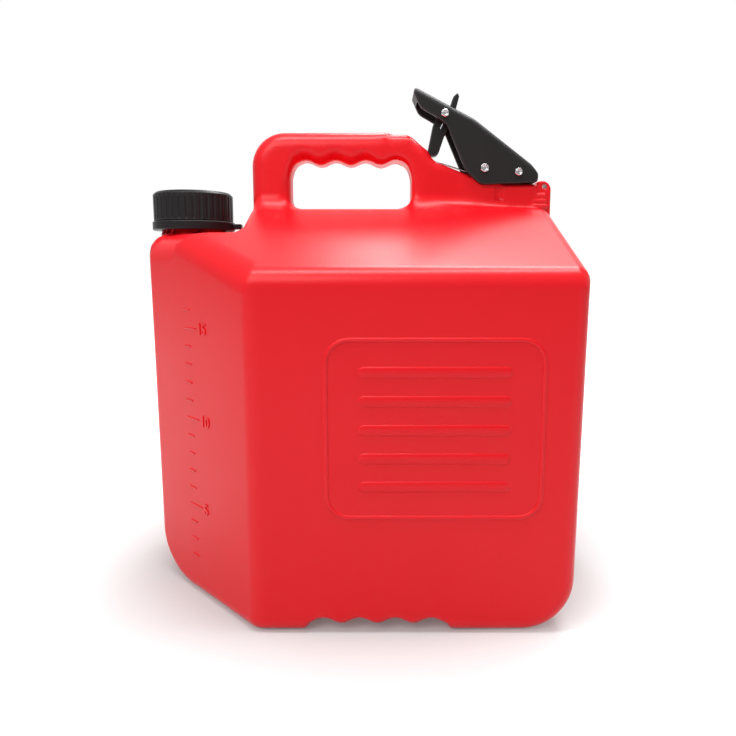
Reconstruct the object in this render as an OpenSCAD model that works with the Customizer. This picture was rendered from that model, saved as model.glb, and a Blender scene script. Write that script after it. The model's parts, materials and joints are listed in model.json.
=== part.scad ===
// Fuel can with a thumb trigger, a screwed filler cap and a swivel spout.
// Lengths in mm. X runs along the can, Y across it, Z up. Z = 0 is the floor.

/* [Tank] */
// Width of the tank across Y
body_w = 268; // [220:1:320]
// Left end of the tank, below the filler cap
left_end = -181; // [-210:1:-170]
// Right end of the tank, where the spout is
right_end = 150; // [130:1:160]
// X where the slanted left panels start
panel_x = -80; // [-110:1:-60]
// Height of the front edge of the shoulder
shoulder_z = 255; // [230:1:275]
// Height of the crest under the handle
crest_z = 305.6; // [295:0.1:315]
// Height of the flat seat round the filler neck
plateau_z = 284; // [270:1:292]
// Radius of the two bottom corners in side view
bottom_r = 36; // [25:1:50]
// Edge radius of the upper part
edge_r = 15; // [10:1:20]
// Edge radius round the foot
foot_r = 9; // [8:1:18]
// Wall thickness
wall = 3.5; // [2.5:0.5:5]

/* [Handle] */
// Thickness of the handle across Y
handle_t = 32; // [26:1:40]
// Top of the handle
handle_z = 369; // [355:1:380]
// Left side of the handle
handle_x = -98; // [-105:1:-90]
// Left side of the hand hole
hole_x0 = -65.4; // [-72:0.1:-60]
// Right side of the hand hole
hole_x1 = 35.7; // [30:0.1:42]
// Mean top of the hand hole
hole_z = 344; // [338:0.5:350]
// Corner radius of the hand hole
hole_r = 12; // [8:1:16]
// Finger pitch of the hand hole and of the bottom grip
finger_p = 25.2; // [22:0.1:28]
// Depth of the finger waves
finger_a = 2; // [1:0.1:3]
// Half width of the ridge under the trigger
ridge_h = 10.5; // [9:0.1:12]

/* [Bottom grip] */
// Left end of the grip channel
grip_x0 = -43; // [-50:1:-35]
// Right end of the grip channel
grip_x1 = 59.5; // [55:0.5:70]
// Mean height of the grip channel
grip_z = 8.5; // [6:0.5:12]

/* [Filler] */
// X of the filler neck
neck_x = -150; // [-155:1:-145]
// Outside diameter of the neck
neck_d = 52; // [48:0.5:56]
// Bore of the neck
neck_bore = 44; // [38:0.5:48]
// Top of the neck
neck_top = 311; // [306:0.5:314]
// Outside diameter of the cap over its ribs
cap_d = 65.6; // [60:0.2:68]
// Top of the cap
cap_top = 320; // [316:0.5:324]
// Ribs round the cap
cap_ribs = 36; // [24:1:96]
// Diameter of the lock ring
ring_d = 68; // [66:0.5:72]

/* [Trigger] */
// X of the trigger pivot
pivot_x = 96; // [90:0.5:100]
// Z of the trigger pivot
pivot_z = 339; // [335:0.5:343]
// X of the pull rod and of the screw through its eye
rod_x = 124.2; // [120:0.1:127]
// Z of the screw through the rod eye
rod_z = 336; // [333:0.5:339]
// X of the safety latch pivot
latch_x = 62.6; // [58:0.1:66]
// Z of the safety latch pivot
latch_z = 382.6; // [378:0.1:386]
// Outside width of the trigger
trig_w = 28; // [26:0.5:32]
// Wall of the trigger
trig_wall = 3; // [2:0.25:4]
// Thickness of the safety latch
latch_t = 10; // [8:0.5:12]
// Shank of the pivot screw
pivot_d = 5; // [4:0.5:6]
// Shank of the two smaller screws
screw_d = 4; // [3:0.5:5]
// Running clearance on the radius
run_c = 0.05; // [0.02:0.01:0.1]

/* [Valve and spout] */
// Height of the outlet
out_z = 58; // [52:1:66]
// Outside diameter of the outlet cup
out_d = 45; // [40:1:48]
// Diameter of the pull rod
rod_d = 5; // [4:0.5:6]
// X of the upright spout
spout_x = 167.5; // [165:0.5:170]
// Top of the spout tip
spout_top = 262; // [240:1:268]
// Diameter of the swivel spigot
spigot_d = 26; // [22:0.5:30]
// Outside diameter of the ribbed hose
hose_d = 31; // [28:0.5:32]
// Number of hose ribs
hose_ribs = 15; // [8:1:24]
// Outside diameter of the spout tip
tip_d = 20.5; // [18:0.5:22]

/* [Hidden] */
$fn = 32;
ball_fn = 24;
hw = body_w / 2;
slope = (crest_z - shoulder_z + 8.3) / hw;
alpha = atan(slope);
peak_z = shoulder_z + slope * hw;
panel_c = hw - panel_x;
half_t = handle_t / 2;
ear_x = 148.1;
ear_z = 324.9;
plat_z = 327;
seat_z = out_z + 19;
red = [0.80, 0.06, 0.05];
black = [0.05, 0.05, 0.06];
steel = [0.70, 0.70, 0.72];
rubber = [0.10, 0.10, 0.10];

// Outlines: each corner [x, y, r] of a polygon becomes an arc of radius r.
function unit(v) = v / norm(v);
function flat(l) = [for (a = l) for (b = a) b];
function corner(a, p, b, r) =
    let (u = unit(a - p), v = unit(b - p))
    let (h = acos(max(-1, min(1, u * v))) / 2)
    r < 0.01 || h > 89.5 ? [p] :
    let (c = p + unit(u + v) * r / sin(h))
    let (s = p + u * r / tan(h) - c, e = p + v * r / tan(h) - c)
    let (w = 180 - 2 * h, n = max(2, ceil(w / 12)))
    let (d = s[0] * e[1] - s[1] * e[0] > 0 ? 1 : -1)
    [for (i = [0:n]) let (t = d * w * i / n)
        c + [s[0] * cos(t) - s[1] * sin(t), s[0] * sin(t) + s[1] * cos(t)]];
function outline(q) =
    let (n = len(q))
    flat([for (i = [0:n - 1])
        let (a = q[(i + n - 1) % n], p = q[i], b = q[(i + 1) % n])
        corner([a[0], a[1]], [p[0], p[1]], [b[0], b[1]], p[2])]);

// A side outline (X, Z) made h thick across Y, middle at y.
module plate(pts, h, y = 0)
    translate([0, y + h / 2, 0]) rotate([90, 0, 0]) linear_extrude(h) polygon(pts);

// A round bar along Y or along X.
module bar_y(x, z, d, y0, y1)
    translate([x, y1, z]) rotate([90, 0, 0]) cylinder(d = d, h = y1 - y0);
module bar_x(z, d, x0, x1)
    translate([x0, 0, z]) rotate([0, 90, 0]) cylinder(d = d, h = x1 - x0);

// A skin over rings of equal length; each ring is closed and the two ends are fans.
module skin(rings) {
    n = len(rings);
    m = len(rings[0]);
    mid = function (r) [for (k = [0:2]) ([for (p = r) 1] * [for (p = r) p[k]]) / m];
    pts = concat(flat(rings), [mid(rings[0]), mid(rings[n - 1])]);
    sides = [for (i = [0:n - 2], j = [0:m - 1])
        let (k = (j + 1) % m)
        each [[i * m + j, i * m + k, (i + 1) * m + k],
              [i * m + j, (i + 1) * m + k, (i + 1) * m + j]]];
    ends = [for (j = [0:m - 1])
        let (k = (j + 1) % m)
        each [[n * m, k, j],
              [n * m + 1, (n - 1) * m + j, (n - 1) * m + k]]];
    polyhedron(pts, concat(sides, ends));
}

// A ball whose flats reach its full radius.
module ball(x, y, z, r)
    translate([x, y, z]) rotate([0, 0, sign(y) * 3.3]) sphere(r / cos(180 / ball_fn), $fn = ball_fn);

// The blown body: balls at its corners and along its bottom curves, wrapped tight.
module body_solid(inset) {
    fr = foot_r;
    er = edge_r;
    arc = bottom_r - fr;
    sz = shoulder_z + er * slope - er / cos(alpha);
    py = (peak_z - plateau_z + er - er / cos(alpha)) / slope;
    cy = (peak_z - crest_z + er - er / cos(alpha)) / slope;
    hull() for (s = [-1, 1]) {
        for (a = [0:22.5:90]) {
            xl = left_end + bottom_r - arc * sin(a);
            z = bottom_r - arc * cos(a);
            ball(right_end - bottom_r + arc * sin(a), s * (hw - fr), z, fr - inset);
            ball(xl, s * (panel_c + xl - fr * sqrt(2)), z, fr - inset);
        }
        ball(panel_x + fr * (sqrt(2) - 1), s * (hw - fr), fr, fr - inset);
        ball(panel_x + er * (sqrt(2) - 1), s * (hw - er), sz, er - inset);
        ball(right_end - er, s * (hw - er), sz, er - inset);
        ball(right_end - er, s * cy, crest_z - er, er - inset);
        ball(-112, s * cy, crest_z - er, er - inset);
        ball(py - panel_c + er * sqrt(2), s * py, plateau_z - er, er - inset);
        ball(left_end + er, s * (panel_c + left_end + er - er * sqrt(2)), plateau_z - er,
             er - inset);
    }
}

// What is taken off above the filler seat, curved up to the handle.
module step_cut(inset)
    plate(outline([[-260, plateau_z - inset, 0], [handle_x + inset, plateau_z - inset, 20],
                   [handle_x + inset, 400, 0], [-260, 400, 0]]), 320);

// The curved blend from the shoulder up to the sides of the handle and ridge.
module skirt() {
    rf = 14;
    st = [[handle_x + 0.4, half_t - 0.4], [42, half_t - 0.4], [52, half_t - 1.6],
          [64, ridge_h + 1.0], [74, ridge_h - 0.4], [right_end - 1.2, ridge_h - 0.4]];
    half = function (r)
        let (yc = r + rf, zc = peak_z - slope * (r + rf) + rf / cos(alpha))
        concat([for (i = [0:6]) let (t = 180 + (90 - alpha) * i / 6)
                   [yc + rf * cos(t), zc + rf * sin(t)]],
               [[r + 5, zc - rf - 7]]);
    skin([for (q = st) let (h = half(q[1]), n = len(h))
        concat([for (p = h) [q[0], p[0], p[1]]],
               [for (i = [n - 1:-1:0]) [q[0], -h[i][0], h[i][1]]])]);
}

// The carrying handle: rounded sections between an outer and an inner line.
module handle_arch() {
    ro = 28;
    xi0 = hole_x0 + hole_r;
    xi1 = hole_x1 - hole_r;
    zi = hole_z - hole_r;
    wave = function (x) finger_a * cos(360 * (x - hole_x0 - finger_p / 2) / finger_p);
    up = [for (z = [290, 312, zi - 4]) [[handle_x, z + (z > 300 ? 4 : 0)], [hole_x0, z]]];
    bend = [for (a = [180:-15:90])
        [[handle_x + ro + ro * cos(a), handle_z - ro + ro * sin(a)],
         [xi0 + hole_r * cos(a),
          zi + hole_r * sin(a) + wave(xi0 + hole_r * cos(a)) * (180 - a) / 90]]];
    grip = [for (i = [1:18]) let (t = i / 18)
        let (xo = handle_x + ro + (16 - handle_x - ro) * t, xi = xi0 + (xi1 - xi0) * t)
        [[xo, handle_z - (t > 0.98 ? 1.5 : 0)], [xi, hole_z + wave(xi)]]];
    far = [[19, 366.3], [26, 366], [32, 364.8], [38.5, 360.5], [44.5, 353.5], [48.5, 350]];
    drop = [for (i = [1:6]) let (a = 90 - 15 * i)
        [far[i - 1], [xi1 + hole_r * cos(a),
         zi + hole_r * sin(a) + wave(xi1 + hole_r * cos(a)) * a / 90]]];
    down = [[[54, 340], [hole_x1, 324]], [[58, 326], [hole_x1, 312]],
            [[58, 290], [hole_x1, 290]]];
    sec = outline([[-1, -1, 0.6], [1, -1, 0.6], [1, 1, 0.6], [-1, 1, 0.6]]);
    skin([for (q = concat(up, bend, grip, drop, down))
        let (m = (q[0] + q[1]) / 2, h = (q[0] - q[1]) / 2)
        [for (p = sec) [m[0] + h[0] * p[0], half_t * p[1], m[1] + h[1] * p[0]]]]);
}

// The ridge that runs from the handle down under the trigger.
module ridge() {
    st = [[38, 351, half_t - 1.5], [45, 351.2, half_t - 1.7], [49, 348.6, half_t - 2],
          [52.5, 344.5, half_t - 2.4], [57, 340.6, half_t - 3.2], [64, 337, ridge_h + 1.2],
          [72, 334.6, ridge_h + 0.2], [80, 333.4, ridge_h], [100, 328, ridge_h],
          [112, plat_z, ridge_h], [139, plat_z, ridge_h], [142, 324, ridge_h - 2]];
    skin([for (q = st)
        let (s = outline([[q[2], 290, 0], [-q[2], 290, 0], [-q[2], q[1], 4],
                          [q[2], q[1], 4]]))
        [for (p = s) [q[0], p[0], p[1]]]]);
}

// The channel for the fingers along the bottom.
module grip_cut(inset) {
    n = 36;
    x0 = grip_x0 + 4;
    x1 = grip_x1 - 4;
    top = [for (i = [0:n]) let (x = x0 + (x1 - x0) * i / n)
        [x, grip_z + inset + 1.8 * cos(360 * (x + 31) / (finger_p + 0.3))]];
    plate(concat([[grip_x1 + 5 + inset, -5], [grip_x0 - 5 - inset, -5],
                  [grip_x0 - 2 - inset, inset]],
                 top, [[grip_x1 + 2 + inset, inset]]), body_w + 20);
}

// The outside of the moulding: body, blend, handle and ridge, brought to finished size.
module tank_skin()
    resize([right_end - left_end, body_w, 0])
    difference() {
        union() {
            difference() {
                union() {
                    difference() {
                        body_solid(0);
                        step_cut(0);
                    }
                    skirt();
                }
                plate(outline([[hole_x0 - 0.7, crest_z + 0.15, 9],
                               [hole_x1 + 0.7, crest_z + 0.15, 9],
                               [hole_x1 + 0.7, 341, 0], [hole_x0 - 0.7, 341, 0]]), 90);
            }
            handle_arch();
            ridge();
        }
        grip_cut(0);
    }

// The hollow inside, one wall thickness in from the skin.
module tank_inside()
    resize([right_end - left_end - 2 * wall, body_w - 2 * wall, 0])
    difference() {
        body_solid(wall);
        step_cut(wall);
        grip_cut(wall);
    }

// Tank: shell, handle, ridge, neck, outlet boss and tie-down ear in one moulding.
module tank() {
    color(red)
    difference() {
        union() {
            tank_skin();
            translate([neck_x, 0, plateau_z - 3]) cylinder(d = neck_d, h = neck_top - plateau_z + 3);
            translate([neck_x, 0, plateau_z - 3]) cylinder(d = neck_d + 4, h = 5.5);
            difference() {
                bar_x(out_z, 62, right_end - 24, right_end + 2);
                bar_x(out_z, 90, right_end - 40, right_end - wall - 0.5);
            }
            // trigger pivot boss on the ridge
            bar_y(pivot_x, pivot_z, 20, -ridge_h + 0.1, ridge_h - 0.1);
            translate([pivot_x - 9.4, -ridge_h + 0.1, 318])
                cube([18.8, 2 * ridge_h - 0.2, pivot_z - 318]);
            // rod guide below the vent
            translate([rod_x, 0, 292]) cylinder(d = 17, h = 30);
            // tie-down ear with its ribs
            difference() {
                plate(outline([[136, 296, 0], [153.5, 296, 0], [153.5, 329.6, 7.5],
                               [141.9, 329.6, 2], [141.9, 322, 0], [136, 322, 0]]), 16.4);
                plate([[right_end - 1, 270], [160, 270], [160, 306.5]], 40);
            }
            for (s = [-1, 1], i = [0:2])
                translate([137, s * (9.4 - 0.6 * i), 308.6 + 4.3 * i]) rotate([0, 90, 0])
                    cylinder(d = 4.2, h = 13.8 - 0.6 * i);
        }
        tank_inside();
        // bores
        translate([neck_x, 0, plateau_z - 14]) cylinder(d = neck_bore, h = 60);
        bar_x(out_z, out_d + 1, right_end - 30, right_end + 10);
        translate([rod_x, 0, 270]) cylinder(d = 9.6, h = 80);
        bar_y(pivot_x, pivot_z, pivot_d + 2 * run_c, -20, 20);
        bar_y(ear_x, ear_z, 4.5, -20, 20);
        // slot for the spring coil
        translate([pivot_x - 13, -4.6, pivot_z - 9]) cube([26, 9.2, 40]);
        // moulded flutes in the ridge sides
        for (s = [-1, 1]) translate([108, s * (ridge_h + 2.4), 313]) cylinder(d = 10, h = 20);
        // spring anchor hole
        translate([60, 0, 342.9]) rotate([0, -79, 0]) cylinder(d = 1.9, h = 16);
    }
}

// Lock ring with its thumb tab, snapped round the neck below the cap.
module lock_ring() {
    color(black)
    difference() {
        union() {
            translate([neck_x, 0, 288.3]) cylinder(d = ring_d, h = 7.4, $fn = 72);
            translate([neck_x + 30, -4.6, 289.8]) cube([10.8, 9.2, 4.3]);
        }
        translate([neck_x, 0, 280]) cylinder(d = neck_d + 0.2, h = 30);
    }
}

// Filler cap: ribbed cup over the neck.
module fill_cap() {
    n = cap_ribs * 6;
    r = cap_d / 2;
    dip = [0, 0, 0, 0.4, 0.7, 0.4];
    color(black)
    difference() {
        union() {
            translate([neck_x, 0, 296.1]) linear_extrude(cap_top - 2.4 - 296.1)
                polygon([for (i = [0:n - 1]) let (q = r - dip[i % 6])
                    q * [cos(360 * i / n), sin(360 * i / n)]]);
            translate([neck_x, 0, cap_top - 2.4]) cylinder(d1 = cap_d - 1.8, d2 = cap_d - 6, h = 2.4);
        }
        translate([neck_x, 0, 290]) cylinder(d = neck_d + 0.6, h = neck_top + 3.1 - 290);
    }
}

// Flat seal between neck and cap.
module cap_gasket() {
    color(rubber)
    translate([neck_x, 0, neck_top + 0.1])
    difference() {
        cylinder(d = neck_d - 0.4, h = 2.8);
        translate([0, 0, -1]) cylinder(d = neck_bore - 2, h = 6);
    }
}

// Side outline of the trigger.
function trig_outline() = outline([[38.3, 404.6, 2.5], [87.3, 379.4, 40], [134.6, 343.9, 9],
    [141.2, 334.5, 6], [140.6, 327.6, 2.5], [93.5, 325.6, 9], [80.8, 336.4, 10],
    [64.5, 373.5, 8], [55.5, 380.0, 10], [42.6, 387.2, 10], [36.9, 399.5, 2.5]]);

// A long bar with rounded top edges, lying along a falling line through p.
module roof(p, a)
    translate([p[0], 0, p[1]]) rotate([0, a, 0]) translate([-140, 0, 0]) rotate([90, 0, 90])
        linear_extrude(280)
            polygon(outline([[-trig_w / 2, -130, 0], [trig_w / 2, -130, 0],
                             [trig_w / 2, 0, 6], [-trig_w / 2, 0, 6]]));

// Trigger: a channel, open below and behind, over the ridge.
module trigger_lever() {
    wi = trig_w - 2 * trig_wall;
    color(black)
    difference() {
        intersection() {
            plate(trig_outline(), 40);
            roof([87.3, 379.4], atan2(404.6 - 379.4, 87.3 - 38.3));
            roof([87.3, 379.4], atan2(379.4 - 343.9, 134.6 - 87.3));
        }
        plate(outline([[42, 399.2, 2], [86.4, 376.3, 30], [132.6, 341.6, 6], [138, 333.8, 4],
                       [138, 310, 0], [42, 310, 0]]), wi);
        // slot for the latch tip
        plate([[51.5, 410], [79.5, 410], [79.5, 372], [51.5, 384]], latch_t + 1.2);
        bar_y(pivot_x, pivot_z, pivot_d + 2 * run_c, -20, 20);
        bar_y(rod_x, rod_z, screw_d + 0.1, -20, 20);
        bar_y(latch_x, latch_z, screw_d + 0.1, -20, 20);
    }
}

// A screw across Y with a six-sided head and a round dish in it; head at the front.
module screw(x, z, d, dh, y0, y1) {
    color(steel)
    difference() {
        union() {
            bar_y(x, z, d, y0 - 0.5, y1);
            translate([x, y0, z]) rotate([90, 30, 0]) cylinder(d = dh, h = 2.4, $fn = 6);
        }
        translate([x, y0 - 1.2, z]) rotate([90, 0, 0]) cylinder(d = dh * 0.56, h = 2.4);
    }
}

// A hex nut across Y.
module nut_y(x, z, d, af, y0, h) {
    color(steel)
    difference() {
        translate([x, y0 + h, z]) rotate([90, 0, 0]) cylinder(d = af / cos(30), h = h, $fn = 6);
        bar_y(x, z, d + 0.1, y0 - 1, y0 + h + 1);
    }
}

// Pivot screw of the trigger.
module pivot_screw() { screw(pivot_x, pivot_z, pivot_d, 7.6, -trig_w / 2 - 0.3, 18.8); }

// Nut on the pivot screw.
module pivot_nut() { nut_y(pivot_x, pivot_z, pivot_d, 8, trig_w / 2 + 0.3, 4); }

// Screw through the rod eye.
module rod_screw() { screw(rod_x, rod_z, screw_d, 7, -trig_w / 2 - 0.05, 17.8); }

// Nut on the rod screw.
module rod_nut() { nut_y(rod_x, rod_z, screw_d, 7, trig_w / 2 + 0.05, 3.2); }

// Pivot screw of the safety latch.
module latch_screw() { screw(latch_x, latch_z, screw_d, 7, -trig_w / 2 - 0.05, 17.8); }

// Nut on the latch screw.
module latch_nut() { nut_y(latch_x, latch_z, screw_d, 7, trig_w / 2 + 0.05, 3.2); }

// Safety latch: its foot stands on the ridge and its tip comes out of the trigger.
module latch_lever() {
    color(black)
    difference() {
        plate(outline([[74.0, 401.3, 0.7], [75.4, 398.4, 1.5], [72.9, 388.5, 4], [70.8, 377.5, 8], [63.4, 366.4, 12],
                       [58.0, 350.4, 3.5], [49.2, 351.0, 3.5], [54.0, 375.6, 14],
                       [58.4, 386.6, 6], [67.3, 386.9, 3], [69.0, 393.5, 3], [70.6, 398.2, 2]]), latch_t);
        bar_y(latch_x, latch_z, screw_d + 2 * run_c, -20, 20);
    }
}

// A round wire through a list of points.
module wire(pts, d) {
    n = len(pts);
    tan_at = function (i) unit(pts[min(i + 1, n - 1)] - pts[max(i - 1, 0)]);
    skin([for (i = [0:n - 1])
        let (t = tan_at(i), b = unit(cross(t, abs(t[1]) > 0.8 ? [1, 0, 0] : [0, 1, 0])))
        let (c = cross(b, t))
        [for (k = [0:5]) pts[i] + d / 2 * (cos(60 * k) * b + sin(60 * k) * c)]]);
}

// Least gap of a wire of diameter d to itself, from points at least k apart along it.
function self_gap(pts, d, k) =
    min([for (i = [0:len(pts) - k - 1]) for (j = [i + k:len(pts) - 1]) norm(pts[i] - pts[j])]) - d;

// Return spring: coil on the trigger pivot, one leg in the ridge, one under the trigger.
module return_spring() {
    d = 1.2;
    r = 5.6;
    turns = 3.52;
    coil = [for (i = [0:64]) let (t = i / 64, a = 262 + 360 * turns * t)
        [pivot_x + r * cos(a), -3.1 + 6.2 * t, pivot_z + r * sin(a)]];
    pts = concat([[46.5, 0, 345.5], [58, 0, 343.3], [64, -0.6, 341.8], [80, -2.4, 337.4]],
                 coil, [[90.6, 3.1, 351], [88.4, 3.1, 361], [86, 3.1, 371], [84.6, 3.1, 375.2]]);
    echo(return_spring_gap = self_gap(pts, d, 10));
    color(steel) wire(pts, d);
}

// Latch spring: coil on the latch pivot, beside the latch.
module latch_spring() {
    d = 0.8;
    r = 3.2;
    turns = 2.9;
    coil = [for (i = [0:48]) let (t = i / 48, a = 300 + 360 * turns * t)
        [latch_x + r * cos(a), -10.1 + 3.9 * t, latch_z + r * sin(a)]];
    pts = concat([[59.4, -10.1, 371.2], [61.6, -10.1, 375.4]], coil,
                 [[70.4, -6.2, 379.6], [76.4, -6.2, 376.6]]);
    echo(latch_spring_gap = self_gap(pts, d, 9));
    color(steel) wire(pts, d);
}

// Pull rod from the eye down to the valve plug.
module pull_rod() {
    color(steel)
    translate([rod_x, 0, seat_z + 2]) cylinder(d = rod_d, h = plat_z + 2.4 - seat_z - 2);
}

// Eye on top of the pull rod, round the rod screw.
module rod_eye() {
    color(steel)
    difference() {
        union() {
            bar_y(rod_x, rod_z, 9.4, -4, 4);
            translate([rod_x, 0, plat_z + 4.3]) cylinder(d = 7, h = 3);
        }
        bar_y(rod_x, rod_z, screw_d + 1, -20, 20);
        translate([rod_x, 0, 300]) cylinder(d = rod_d + 0.1, h = 29.5);
    }
}

// Vent seat: grommet in the top of the ridge round the pull rod.
module vent_seat() {
    color(rubber)
    difference() {
        union() {
            translate([rod_x, 0, 304]) cylinder(d = 9.4, h = plat_z + 0.1 - 304);
            translate([rod_x, 0, plat_z + 0.05]) cylinder(d = 15, h = 1.9);
        }
        translate([rod_x, 0, 280]) cylinder(d = 6.6, h = 80);
    }
}

// Vent disc on the rod, lifted off its seat with the rod.
module vent_disc() {
    color(rubber)
    difference() {
        translate([rod_x, 0, plat_z + 2.1]) cylinder(d = 13, h = 2);
        translate([rod_x, 0, 300]) cylinder(d = rod_d + 0.1, h = 60);
    }
}

// Plug on the foot of the rod.
module valve_plug() {
    color(rubber)
    difference() {
        union() {
            translate([rod_x, 0, seat_z + 0.1]) cylinder(d1 = 20, d2 = 19, h = 4);
            translate([rod_x, 0, seat_z + 4]) cylinder(d1 = 19, d2 = 12, h = 6);
        }
        translate([rod_x, 0, seat_z + 1.9]) cylinder(d = rod_d + 0.1, h = 40);
    }
}

// Nut that holds the plug on the rod.
module plug_nut() {
    color(steel)
    difference() {
        translate([rod_x, 0, seat_z + 10.1]) cylinder(d = 8 / cos(30), h = 4, $fn = 6);
        translate([rod_x, 0, seat_z]) cylinder(d = rod_d + 0.1, h = 40);
    }
}

// Outlet: cup with the valve seat, flange and swivel spigot.
module outlet_body() {
    x1 = right_end + 4;
    color(black)
    difference() {
        union() {
            bar_x(out_z, out_d, 104, x1 + 1);
            bar_x(out_z, 58, x1, x1 + 2.4);
            bar_x(out_z, spigot_d, x1 + 1.5, 178.2);
        }
        bar_x(out_z, 32, 107, x1);
        bar_x(out_z, 18, x1 - 1, 171);
        bar_x(out_z, 10.1, 172.5, 180);
        translate([90, -30, seat_z]) cube([right_end - wall - 2 - 90, 60, 20]);
        translate([rod_x, 0, out_z]) cylinder(d = 14, h = 40);
        for (a = [0, 90])
            translate([spout_x, 0, out_z]) rotate([a, 0, 0]) cylinder(d = 9, h = 40, center = true);
        for (x = [159, 175])
            bar_x_groove(x);
    }
}

// Groove for one of the swivel seals.
module bar_x_groove(x)
    difference() {
        bar_x(out_z, 40, x - 1.15, x + 1.15);
        bar_x(out_z, spigot_d - 4.1, x - 2, x + 2);
    }

// Seal between the outlet flange and the boss.
module outlet_gasket() {
    color(rubber)
    difference() {
        bar_x(out_z, 57, right_end + 2.05, right_end + 3.95);
        bar_x(out_z, out_d + 1.2, right_end, right_end + 10);
    }
}

// The two round seals of the swivel.
module swivel_seal() {
    color(rubber)
    for (x = [159, 175])
        translate([x, 0, out_z]) rotate([0, 90, 0])
            rotate_extrude() translate([spigot_d / 2 - 1, 0]) circle(d = 1.96, $fn = 24);
}

// Cap that holds the elbow on the spigot.
module swivel_cap() {
    color(black)
    difference() {
        union() {
            bar_x(out_z, 34, 178.7, 184);
            bar_x(out_z, 10, 173, 179);
        }
        for (s = [-1, 1]) bar_x_at(s * 9);
    }
}

// Small key hole in the swivel cap.
module bar_x_at(y)
    translate([181, y, out_z]) rotate([0, 90, 0]) cylinder(d = 4, h = 6);

// Elbow that turns on the spigot and carries the hose.
module swivel_elbow() {
    color(black)
    difference() {
        union() {
            bar_x(out_z, 38, 156.7, 178.4);
            translate([spout_x, 0, out_z]) cylinder(d = 21.4, h = 38);
            translate([spout_x, 0, out_z]) cylinder(d = 20, h = 62);
        }
        bar_x(out_z, spigot_d + 2 * run_c, 150, 180);
        difference() {
            bar_x(out_z, 31, 162, 172);
            bar_x(out_z, 20, 150, 180);
        }
        translate([spout_x, 0, out_z + 5]) cylinder(d = 14, h = 80);
    }
}

// Ribbed flexible hose.
module flex_hose() {
    z0 = out_z + 38.1;
    z1 = 196;
    p = (z1 - z0 - 12) / hose_ribs;
    ro = hose_d / 2;
    out = flat([for (i = [0:hose_ribs - 1]) let (z = z0 + 6 + p * i)
        [[ro - 3, z], [ro - 0.5, z + 0.24 * p], [ro, z + 0.36 * p], [ro, z + 0.56 * p],
         [ro - 0.5, z + 0.68 * p], [ro - 3, z + 0.92 * p]]]);
    inn = flat([for (i = [hose_ribs - 4:-1:3]) let (z = z0 + 6 + p * i)
        [[10.4, z + 0.96 * p], [12.6, z + 0.62 * p], [12.6, z + 0.3 * p], [10.4, z + 0.02 * p]]]);
    color(black)
    translate([spout_x, 0, 0])
    rotate_extrude()
        polygon(concat([[10.1, z0], [ro - 2.2, z0], [ro - 2.2, z0 + 5.4]], out,
                       [[ro - 2.2, z1 - 5.4], [ro - 2.2, z1], [10.1, z1]], inn));
}

// Spout tip.
module nozzle() {
    z1 = 196.1;
    color(black)
    difference() {
        translate([spout_x, 0, 0])
        rotate_extrude()
            polygon([[6, 176], [9.5, 176], [10, 178], [10, z1], [14.6, z1], [14.6, z1 + 8],
                     [12.4, z1 + 11], [12.4, z1 + 18], [tip_d / 2, z1 + 24],
                     [tip_d / 2, spout_top - 1.2], [tip_d / 2 - 1.2, spout_top], [6, spout_top]]);
        translate([spout_x, 0, 170]) cylinder(d = 14.4, h = 120);
    }
}

tank();
lock_ring();
fill_cap();
cap_gasket();
trigger_lever();
pivot_screw();
pivot_nut();
rod_screw();
rod_nut();
latch_lever();
latch_screw();
latch_nut();
return_spring();
latch_spring();
pull_rod();
rod_eye();
vent_seat();
vent_disc();
valve_plug();
plug_nut();
outlet_body();
outlet_gasket();
swivel_seal();
swivel_cap();
swivel_elbow();
flex_hose();
nozzle();
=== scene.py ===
# %% [markdown]
# # A red fuel can, dressed piece by piece
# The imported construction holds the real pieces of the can, with their joints. This script
# gives each piece its looks: moulded plastic, black levers, bright screws and a ribbed spout.
# All sizes below are in millimetres, and the number MM turns them into Blender's metres.

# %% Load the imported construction
import json
import math

import bmesh
import bpy
import numpy as np
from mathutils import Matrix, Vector


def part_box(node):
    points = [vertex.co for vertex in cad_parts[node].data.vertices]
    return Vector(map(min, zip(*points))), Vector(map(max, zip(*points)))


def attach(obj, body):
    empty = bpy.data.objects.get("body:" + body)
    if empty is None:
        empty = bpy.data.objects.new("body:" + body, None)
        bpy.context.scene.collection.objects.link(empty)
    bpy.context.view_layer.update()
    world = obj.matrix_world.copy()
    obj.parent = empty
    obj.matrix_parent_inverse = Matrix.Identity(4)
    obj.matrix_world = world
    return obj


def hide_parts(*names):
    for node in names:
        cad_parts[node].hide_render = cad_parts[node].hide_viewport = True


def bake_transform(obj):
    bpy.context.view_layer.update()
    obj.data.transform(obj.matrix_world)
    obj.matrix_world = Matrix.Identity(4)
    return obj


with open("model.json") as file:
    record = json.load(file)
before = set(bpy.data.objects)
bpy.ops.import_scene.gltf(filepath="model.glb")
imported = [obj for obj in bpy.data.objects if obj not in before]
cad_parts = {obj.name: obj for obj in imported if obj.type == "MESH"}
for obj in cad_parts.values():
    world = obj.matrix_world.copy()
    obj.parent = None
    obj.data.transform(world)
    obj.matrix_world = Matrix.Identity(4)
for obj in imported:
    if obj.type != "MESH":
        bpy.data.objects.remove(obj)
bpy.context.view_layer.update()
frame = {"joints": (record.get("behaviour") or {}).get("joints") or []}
MM = 0.001


def box_mm(node):
    """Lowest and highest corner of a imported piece, in mm."""
    lo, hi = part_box(node)
    return np.array(lo) / MM, np.array(hi) / MM


def joint_mm(name):
    """The point that a hinge turns about, in mm."""
    return np.array(next(j["pos_m"] for j in frame["joints"] if j["name"] == name)) / MM


# %% [markdown]
# ## Camera
# The photograph was taken from close by with a wide lens, a little above the middle of the can
# and pointing slightly down. A camera object could be aimed by hand, but the lens and the tilt
# follow from the can's straight edges, so they are written as numbers. The picture is a crop:
# the middle of the lens lies a little beside the middle of the picture.

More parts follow.
